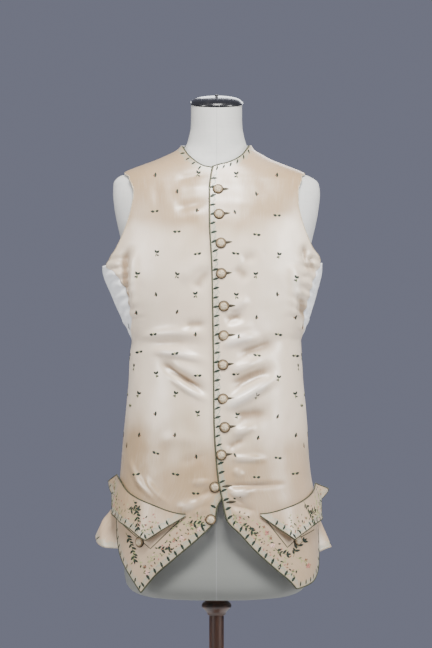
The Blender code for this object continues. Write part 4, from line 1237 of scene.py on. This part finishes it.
def edge_scroll(needle, path, inside, size=0.0030):
    """A pale stem that wavers among the leaves, one wave to each."""
    flat, travelled = [], 0.0
    for (ax, az), (bx, bz) in zip(path, path[1:]):
        length = math.hypot(bx - ax, bz - az)
        travelled += length
        if not length:
            continue
        away = inside * (LEAF_IN + 0.0012 + size * math.sin(math.tau * travelled / LEAF_STEP))
        flat.append((ax - (bz - az) / length * away, az + (bx - ax) / length * away))
    needle.stem(flat, 0.0010, "aqua")


def between(path, low, high):
    """The places of a path whose heights lie between two."""
    return [(x, z) for x, z in path if low <= z <= high]


right_path, left_path = edge_places(FRONT_RIGHT), edge_places(FRONT_LEFT)
sewn = {"right": Needle(front_lay(True)), "left": Needle(front_lay(False))}
edge_leaves(sewn["left"], between(left_path, 0.640, 1.404), LEAF_STEP, -1, 62.0)
edge_scroll(sewn["left"], between(left_path, 0.640, 1.404), -1)
edge_leaves(sewn["left"], between(left_path, 1.409, 1.452), LEAF_STEP * 0.75, -1, 118.0, 0.0085, 0.0030)
edge_leaves(sewn["right"], between(right_path, 0.633, 0.800), LEAF_STEP, 1, 62.0)
edge_scroll(sewn["right"], between(right_path, 0.633, 0.800), 1)
neck = [(x, z) for x, z in right_path if x < -0.012 and z > 1.40]
edge_leaves(sewn["right"], neck, LEAF_STEP * 0.75, 1, 62.0, 0.0085, 0.0030)
print("edge leaves on", len(sewn), "fronts")


# %% Sprigs
def sprig(needle, x, z, kind, size, mirror, tilt=0.0):
    """One of three small sprigs: a pair of leaves, a spray of three, or one upright leaf."""
    def leaf(dx, dz, turn, long, wide, colour="dark_green"):
        at_turn = (180.0 - turn if mirror else turn) + tilt
        needle.leaf(x + (-dx if mirror else dx) * size, z + dz * size, at_turn,
                    long * size, wide * size * 1.25, colour)
    if kind == 0:
        leaf(0.0008, 0.0000, 20.0, 0.0062, 0.0034)
        leaf(-0.0012, 0.0004, 168.0, 0.0052, 0.0032)
        leaf(0.0, 0.0006, 100.0, 0.0034, 0.0018, "yellow_green")
    elif kind == 1:
        leaf(0.0, -0.0004, 52.0, 0.0060, 0.0030)
        leaf(-0.0004, 0.0, 128.0, 0.0054, 0.0028)
        leaf(0.0, -0.0010, 262.0, 0.0058, 0.0016, "moss")
        leaf(0.0006, -0.0034, 342.0, 0.0036, 0.0022)
    else:
        leaf(0.0, -0.0030, 84.0, 0.0082, 0.0030)
        leaf(0.0004, -0.0010, 22.0, 0.0036, 0.0018, "brown")


SPRIG_COLUMNS = (0.0355, 0.0735, 0.1110, 0.1430)   # across from the centre
SPRIG_TOP, SPRIG_RISE = 1.392, 0.0735
SPRIG_LOWEST, SIDE_LOWEST = 0.790, 0.860
SPRIG_SIZE, SIDE_SPRIG_SIZE = 1.08, 1.25
ARMHOLE_X, ARMHOLE_FOOT = 0.12, 1.215              # the sprigs stop at the armhole


def sow(side):
    """The half-drop repeat of sprigs over a front, column by column."""
    sign, needle, number = (-1 if side == "right" else 1), sewn[side], 0
    for column, across in enumerate(SPRIG_COLUMNS):
        z = SPRIG_TOP - (SPRIG_RISE / 2 if column % 2 else 0.0) + (0.004 if side == "right" else 0.0)
        while z > SPRIG_LOWEST + across * 0.25:
            number += 1
            place = sign * (across + chance.uniform(-0.0025, 0.0025))
            if across < ARMHOLE_X or z < ARMHOLE_FOOT:
                sprig(needle, place, z + chance.uniform(-0.004, 0.004), (number + column) % 3,
                      SPRIG_SIZE, chance.random() < 0.5, chance.uniform(-22, 22))
            z -= SPRIG_RISE


def sow_side(side):
    """The outermost columns, which lie round the side and are set by their angle."""
    right = side == "right"
    needle = Needle(wrap_lay(right))
    for column, (first, across) in enumerate(((1.335, 0.052), (1.060, 0.014))):
        z, number = first, column
        while z > SIDE_LOWEST:
            number += 1
            room = 0.040 + max(0.0, z - 1.10) * 0.5
            if across > room - 0.030:
                sprig(needle, across + 0.002 * math.sin(z * 50.0), z, (number * 2) % 3,
                      SIDE_SPRIG_SIZE, right)
            z -= SPRIG_RISE
    return needle


for side in ("right", "left"):
    sow(side)
side_needles = {side: sow_side(side) for side in ("right", "left")}
print("sprigs sown")

# %% [markdown]
# ## Sprays on the skirts and flaps
# The skirts and the pocket flaps carry the richest work: leafy sprays in dark green, and trailing
# stems in yellow-green with small pink and brown flowers. Each is drawn from its foot.

# %% Sprays
Spray = namedtuple("Spray", "x z turn long bend kind")

SKIRT_SPRAYS = {
    "right": [
        Spray(-0.1660, 0.7350, -60.0, 0.050, -25.0, "leafy"),
        Spray(-0.1120, 0.7130, -20.0, 0.026, 30.0, "leafy"),
        Spray(-0.0650, 0.7620, -35.0, 0.036, 25.0, "bloom"),
        Spray(-0.0960, 0.7200, 25.0, 0.034, -20.0, "bloom"),
        Spray(-0.0540, 0.7570, 5.0, 0.026, -20.0, "leafy"),
        Spray(-0.1420, 0.6900, -70.0, 0.030, 30.0, "bloom"),
        Spray(-0.1480, 0.7080, -110.0, 0.026, 30.0, "vine"),
        Spray(-0.0840, 0.7420, 40.0, 0.026, 20.0, "vine"),
        Spray(-0.1240, 0.6800, 60.0, 0.018, 10.0, "vine"),
        Spray(-0.0330, 0.7720, -100.0, 0.022, 25.0, "vine"),
    ],
    "left": [
        Spray(0.1400, 0.6930, 78.0, 0.034, -50.0, "leafy"),
        Spray(0.1060, 0.7120, -50.0, 0.026, 50.0, "leafy"),
        Spray(0.0740, 0.7640, -70.0, 0.030, 35.0, "bloom"),
        Spray(0.0920, 0.7400, -80.0, 0.026, 30.0, "bloom"),
        Spray(0.0420, 0.7560, -20.0, 0.030, -30.0, "leafy"),
        Spray(0.1440, 0.6920, -20.0, 0.030, -40.0, "bloom"),
        Spray(0.1290, 0.6920, -150.0, 0.020, 40.0, "vine"),
        Spray(0.0660, 0.7410, -60.0, 0.022, 10.0, "vine"),
        Spray(0.1500, 0.6700, 200.0, 0.018, 20.0, "vine"),
        Spray(0.0300, 0.7780, -70.0, 0.022, -25.0, "vine"),
    ],
}

FLAP_SPRAYS = {
    "right": [
        Spray(*wrapped(53.0, 0.7970), -55.0, 0.052, -30.0, "leafy"),
        Spray(*wrapped(58.0, 0.7800), -10.0, 0.028, 20.0, "leafy"),
        Spray(*wrapped(76.0, 0.8120), -95.0, 0.044, 20.0, "vine"),
        Spray(*wrapped(86.0, 0.8260), -85.0, 0.046, -25.0, "vine"),
        Spray(*wrapped(93.0, 0.8260), -70.0, 0.034, 30.0, "bloom"),
        Spray(*wrapped(70.0, 0.7880), -70.0, 0.026, 30.0, "vine"),
    ],
    "left": [
        Spray(*wrapped(57.0, 0.7930), -130.0, 0.050, 30.0, "leafy"),
        Spray(*wrapped(60.0, 0.7760), -170.0, 0.026, -20.0, "leafy"),
        Spray(*wrapped(76.0, 0.8060), -80.0, 0.042, -20.0, "vine"),
        Spray(*wrapped(86.0, 0.8180), -95.0, 0.042, 25.0, "vine"),
        Spray(*wrapped(93.0, 0.8120), -110.0, 0.028, -30.0, "bloom"),
        Spray(*wrapped(70.0, 0.7820), -110.0, 0.026, -30.0, "vine"),
    ],
}


def sew_spray(needle, spray):
    """A curved stem with leaves on both sides, and a flower or buds on some."""
    steps = max(4, round(spray.long / 0.0058))
    x, z, heading, places = spray.x, spray.z, spray.turn, []
    for i in range(steps + 1):
        places.append((x, z, heading))
        x += math.cos(math.radians(heading)) * spray.long / steps
        z += math.sin(math.radians(heading)) * spray.long / steps
        heading += spray.bend / steps
    leafy = spray.kind == "leafy"
    needle.stem([(px, pz) for px, pz, _ in places], 0.0011, "moss" if leafy else "yellow_green")
    for i, (px, pz, way) in enumerate(places[1:], 1):
        side = 1 if i % 2 else -1
        long = (0.0088 if leafy else 0.0056) * chance.uniform(0.85, 1.15)
        mixed = ("moss", "yellow_green", "yellow_green", "dark_green")
        kind = "dark_green" if leafy else chance.choice(mixed)
        needle.leaf(px, pz, way + side * chance.uniform(38.0, 62.0), long, long * 0.46, kind)
        if leafy and i % 2 == 0:
            needle.leaf(px, pz, way - side * chance.uniform(40.0, 60.0), long * 0.8, long * 0.38, kind)
    end_x, end_z, way = places[-1]
    if spray.kind == "bloom":
        needle.flower(end_x, end_z, 0.0052, chance.choice(("rose", "pink")), "gilt", 5, way)
        mid_x, mid_z, _ = places[len(places) // 2]
        needle.flower(mid_x + 0.0035, mid_z + 0.002, 0.0034, "brown", "rose", 4, way)
    elif spray.kind == "vine":
        needle.leaf(end_x, end_z, way, 0.0042, 0.0030, "pink")
    else:
        needle.leaf(end_x, end_z, way, 0.0088, 0.0038, "dark_green")


def scatter(needle, path, inside, away, step):
    """Small leaves and buds in mixed threads along a path, as the fine work beside a border."""
    for x, z, turn in along_path(path, step):
        heading = math.radians(turn + 90.0 * inside)
        out = away + chance.uniform(-0.003, 0.003)
        kind = chance.choice(("moss", "yellow_green", "moss", "brown", "rose", "dark_green"))
        long = chance.uniform(0.0034, 0.0056)
        needle.leaf(x + math.cos(heading) * out, z + math.sin(heading) * out,
                    chance.uniform(0.0, 360.0), long, long * 0.5, kind)


WELTS = {"right": ((-0.1765, 0.7530), (-0.1200, 0.7094), (-0.0580, 0.7715)),
         "left": ((0.0830, 0.7715), (0.1290, 0.7114), (0.1450, 0.7251), (0.1790, 0.7390))}


def finer(path, step=0.003):
    made = []
    for (ax, az), (bx, bz) in zip(path, path[1:]):
        count = max(1, round(math.hypot(bx - ax, bz - az) / step))
        made += [(ax + (bx - ax) * k / count, az + (bz - az) * k / count) for k in range(count)]
    return made + [path[-1]]


flap_needles, gore_needles = {}, {}
for side, cuts, flap_table, gore_table in (
        ("right", FRONT_RIGHT, FLAP_RIGHT, GORE_RIGHT), ("left", FRONT_LEFT, FLAP_LEFT, GORE_LEFT)):
    right = side == "right"
    for spray in SKIRT_SPRAYS[side]:
        sew_spray(sewn[side], spray)
    sewn[side].stem(finer(WELTS[side]), 0.0016, "olive")
    hem = [(x, z) for x, z in (right_path if right else left_path) if z < 0.775]
    for away, step in ((0.0155, 0.0062), (0.0240, 0.0085), (0.0340, 0.0110)):
        clear_of_tip = [(x, z) for x, z in hem if z > 0.635 + away * 0.9]
        scatter(sewn[side], clear_of_tip, 1 if right else -1, away, step)
    skirt = finer([wrapped(row.outer_angle, row.outer_z) for row in cuts if row.outer_z < 0.755], 0.004)
    edge_leaves(side_needles[side], skirt, LEAF_STEP, -1, 62.0, 0.0098, 0.0038)
    needle = flap_needles[side] = Needle(flap_lay(flap_table, right))
    for spray in FLAP_SPRAYS[side]:
        sew_spray(needle, spray)
    hem = finer([wrapped(row.angle, row.hem_z) for row in flap_table], 0.004)
    edge_leaves(needle, hem[6:-2], LEAF_STEP * 0.92, -1, 88.0, 0.0100, 0.0036)
    edge_scroll(needle, hem[6:-2], -1)
    for away, step in ((0.0150, 0.0065), (0.0240, 0.0095), (0.0340, 0.0140)):
        scatter(needle, hem[10:-4], -1, away, step)
    needle = gore_needles[side] = Needle(gore_lay(gore_table, cuts, right))
    hem = finer([wrapped(row.angle, row.hem_z) for row in gore_table if row.angle > 88.0], 0.004)
    edge_leaves(needle, hem, LEAF_STEP, -1, 88.0, 0.0092, 0.0032)
print("sprays sewn")

# %% [markdown]
# ## Buttons and buttonholes
# A button is a mould covered with silk and gilt thread in a star, with a corded rim, on a dark round
# that is partly stitches and partly painted shadow round the button. The buttonholes are worked in
# dark silk round a near-black slit of painted shade, and show beside each button, since the
# fastening pulls each button to the inner end of its hole.

# %% Buttonholes
Button = namedtuple("Button", "x z layer")

FRONT_BUTTONS = [
    Button(0.0027, 1.3650, "overlap"), Button(0.0045, 1.3190, "overlap"),
    Button(0.0078, 1.2665, "overlap"), Button(0.0085, 1.2120, "overlap"),
    Button(0.0129, 1.1530, "overlap"), Button(0.0129, 1.0990, "overlap"),
    Button(0.0115, 1.0455, "overlap"), Button(0.0118, 0.9835, "overlap"),
    Button(0.0147, 0.9320, "overlap"), Button(0.0086, 0.8820, "overlap"),
    Button(-0.0031, 0.8235, "underlap"), Button(-0.0104, 0.7645, "underlap"),
]
POCKET_BUTTONS = {"right": Button(-0.1400, 0.7205, "skirt"), "left": Button(0.1480, 0.7235, "skirt")}

EMPTY_HOLES = [Button(0.0090, 0.8245, "overlap"), Button(0.0160, 0.7960, "overlap")]

for button in FRONT_BUTTONS[:10] + EMPTY_HOLES:
    reach = 0.0170 + chance.uniform(-0.001, 0.0015)
    slope = chance.uniform(1.0, 8.0)
    sewn["left"].leaf(button.x + 0.001, button.z, slope, reach + 0.0015, 0.0052, "olive")
    # The inner leaf is a near-black slit of painted shade.
    sewn["left"].leaf(button.x + 0.001, button.z, slope, reach, 0.0034, "shadow", rise=0.0004)
print("buttonholes worked")


# %% Buttons
def spun(bm, profile, sides, kind, ripple):
    """A turned shell whose height ripples round it."""
    rings = []
    for i in range(sides):
        turn = math.tau * i / sides
        rings.append([bm.verts.new((r * math.cos(turn), r * math.sin(turn), z + ripple(turn, r)))
                      for r, z in profile])
    for i in range(sides):
        first, second = rings[i - 1], rings[i]
        for j in range(len(profile) - 1):
            face = bm.faces.new((first[j], first[j + 1], second[j + 1], second[j]))
            face.material_index = KINDS.index(kind)


RIM_MIDDLE, RIM_ROUND, RIM_HIGH = 0.0072, 0.0013, 0.0019
RIM = [(RIM_MIDDLE + RIM_ROUND * math.cos(math.radians(a)),
        RIM_HIGH + RIM_ROUND * math.sin(math.radians(a)))
       for a in range(0, 361, 40)]
PINHOLE, DOME_EDGE = 0.00002, 0.0064
DOME_RADIUS, DOME_FOOT, DOME_RISE = 0.0066, 0.0016, 0.0040
DOME = [(PINHOLE + DOME_RADIUS * math.sin(math.radians(a)),
         DOME_FOOT + DOME_RISE * math.cos(math.radians(a)) ** 0.8)
        for a in range(0, 91, 9)] + [(0.0060, 0.0004), (PINHOLE, 0.0004)]
# The dark round under each button: partly stitches, partly painted shadow round the button.
STITCHES_AND_PAINTED_SHADOW = [(0.0062, 0.0004), (0.0092, 0.0009), (0.0101, 0.0003),
                  (0.0092, -0.0001), (0.0062, -0.0001), (0.0062, 0.0004)]


def star(turn, radius):
    """The swirled star of thread on a dome; its rim and its flat underside stay smooth."""
    if radius >= DOME_EDGE:
        return 0.0
    return 0.00050 * math.sin(turn * 5.0 + radius * 700.0) * min(1.0, radius / 0.003)


def worked_button(name, place, normal, turn):
    bm = bmesh.new()
    spun(bm, RIM, 48, "gilt", lambda a, r: 0.00022 * math.sin(a * 24.0))
    spun(bm, DOME, 40, "cream", star)
    spun(bm, STITCHES_AND_PAINTED_SHADOW, 48, "shadow", lambda a, r: 0.00010 * math.sin(a * 40.0))
    bmesh.ops.remove_doubles(bm, verts=bm.verts, dist=0.00003)
    bmesh.ops.recalc_face_normals(bm, faces=bm.faces)
    mesh = smooth_mesh(name, bm)
    seat = Matrix.Translation(place) @ normal.to_track_quat("Z", "Y").to_matrix().to_4x4()
    mesh.transform(seat @ Matrix.Rotation(turn, 4, "Z"))
    made = add_piece(name, mesh, *thread.values())
    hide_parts(name)
    return made


def button_seat(button):
    right = button.layer == "underlap" or button.x < 0
    angle = angle_of(button.x, button.z, right)
    lift = overlap_lift(button.x) if button.layer == "overlap" else 0.0
    place = cloth_point(angle, button.z, right, FRONT_WALL + lift + 0.0005)
    return place, outward(garment, angle, button.z, right)


made_buttons = [worked_button(f"button_{n:02d}", *button_seat(b), chance.uniform(0, 6))
                for n, b in enumerate(FRONT_BUTTONS, 1)]
made_buttons += [worked_button(f"pocket_button_{side}", *button_seat(b), chance.uniform(0, 6))
                 for side, b in POCKET_BUTTONS.items()]
print(len(made_buttons), "buttons")

# %% [markdown]
# ## Cords and bindings
# The olive cord is laid on every worked edge, and over the seam of each flap. A narrow cream
# binding finishes the armholes.

# %% Cords
HALF_WIDE, HALF_DEEP = 0.19, 0.125   # of the oval that gives the way out from the body


def rim_places(places, out):
    """An edge's places moved out to the face of the cloth."""
    return [p + Vector((p.x / HALF_WIDE ** 2, p.y / HALF_DEEP ** 2, 0.0)).normalized() * out
            for p in places]


def add_cord(name, lines, radius, kind):
    bm = bmesh.new()
    for line in lines:
        bm.from_mesh(cord_mesh(name, line, radius))
    made = add_piece(name, smooth_mesh(name, bm), thread[kind])
    print(name, len(made.data.polygons), "faces")
    return made


EDGE_CORD, FLAP_CORD, BINDING = 0.0015, 0.0012, 0.0013   # radii
ARMHOLE = {"right": (1.228, 1.4045), "left": (1.234, 1.4045)}

cords, bindings = {}, {}
for side, grid, edge, flap_table in (
        ("right", right_grid, right_edge, FLAP_RIGHT), ("left", left_grid, left_edge, FLAP_LEFT)):
    right = side == "right"
    first, last = flap_table[0].angle, flap_table[-1].angle
    angles = [first + (last - first) * i / 90 for i in range(91)]
    hem = [flap_point(flap_table, a, 0.0, right, FLAP_WALL * 0.6) for a in angles]
    top = [flap_point(flap_table, a, 1.0, right, FLAP_WALL * 0.9) for a in angles]
    back = [flap_point(flap_table, last, k / 8, right, FLAP_WALL * 0.6) for k in range(9)]
    low, high = ARMHOLE[side]
    armhole = rim_places([row[-1] for row in grid if low < row[-1].z < high], FRONT_WALL * 0.6)
    cords[side] = add_cord(f"edge_cord_{side}", [rim_places(edge, FRONT_WALL * 0.7)], EDGE_CORD, "olive")
    cords["flap " + side] = add_cord(f"flap_cord_{side}", [hem, top, back], FLAP_CORD, "olive")
    bindings[side] = add_cord(f"armhole_binding_{side}", [armhole], BINDING, "cream")

embroidery = {}
for side in ("right", "left"):
    embroidery[side] = [
        sewn[side].finish(f"embroidery_{side}"), side_needles[side].finish(f"side_sprigs_{side}")]
    embroidery["flap " + side] = [flap_needles[side].finish(f"flap_embroidery_{side}")]
    embroidery["gore " + side] = [gore_needles[side].finish(f"gore_embroidery_{side}")]

# %% [markdown]
# ## The pieces of each side
# Each panel was cut flat before it was made up. Here each side's embroidery and flap cord are only
# looked up; no cut rectangle or area is worked out.

# %% Each side's pieces
Cloth = namedtuple("Cloth", "flat area")

for side, front, back in (("right", front_right, back_right), ("left", front_left, back_left)):
    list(embroidery[side])
    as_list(embroidery["gore " + side])
    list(embroidery["flap " + side])
    cords["flap " + side]
    print("sheets on the", side)
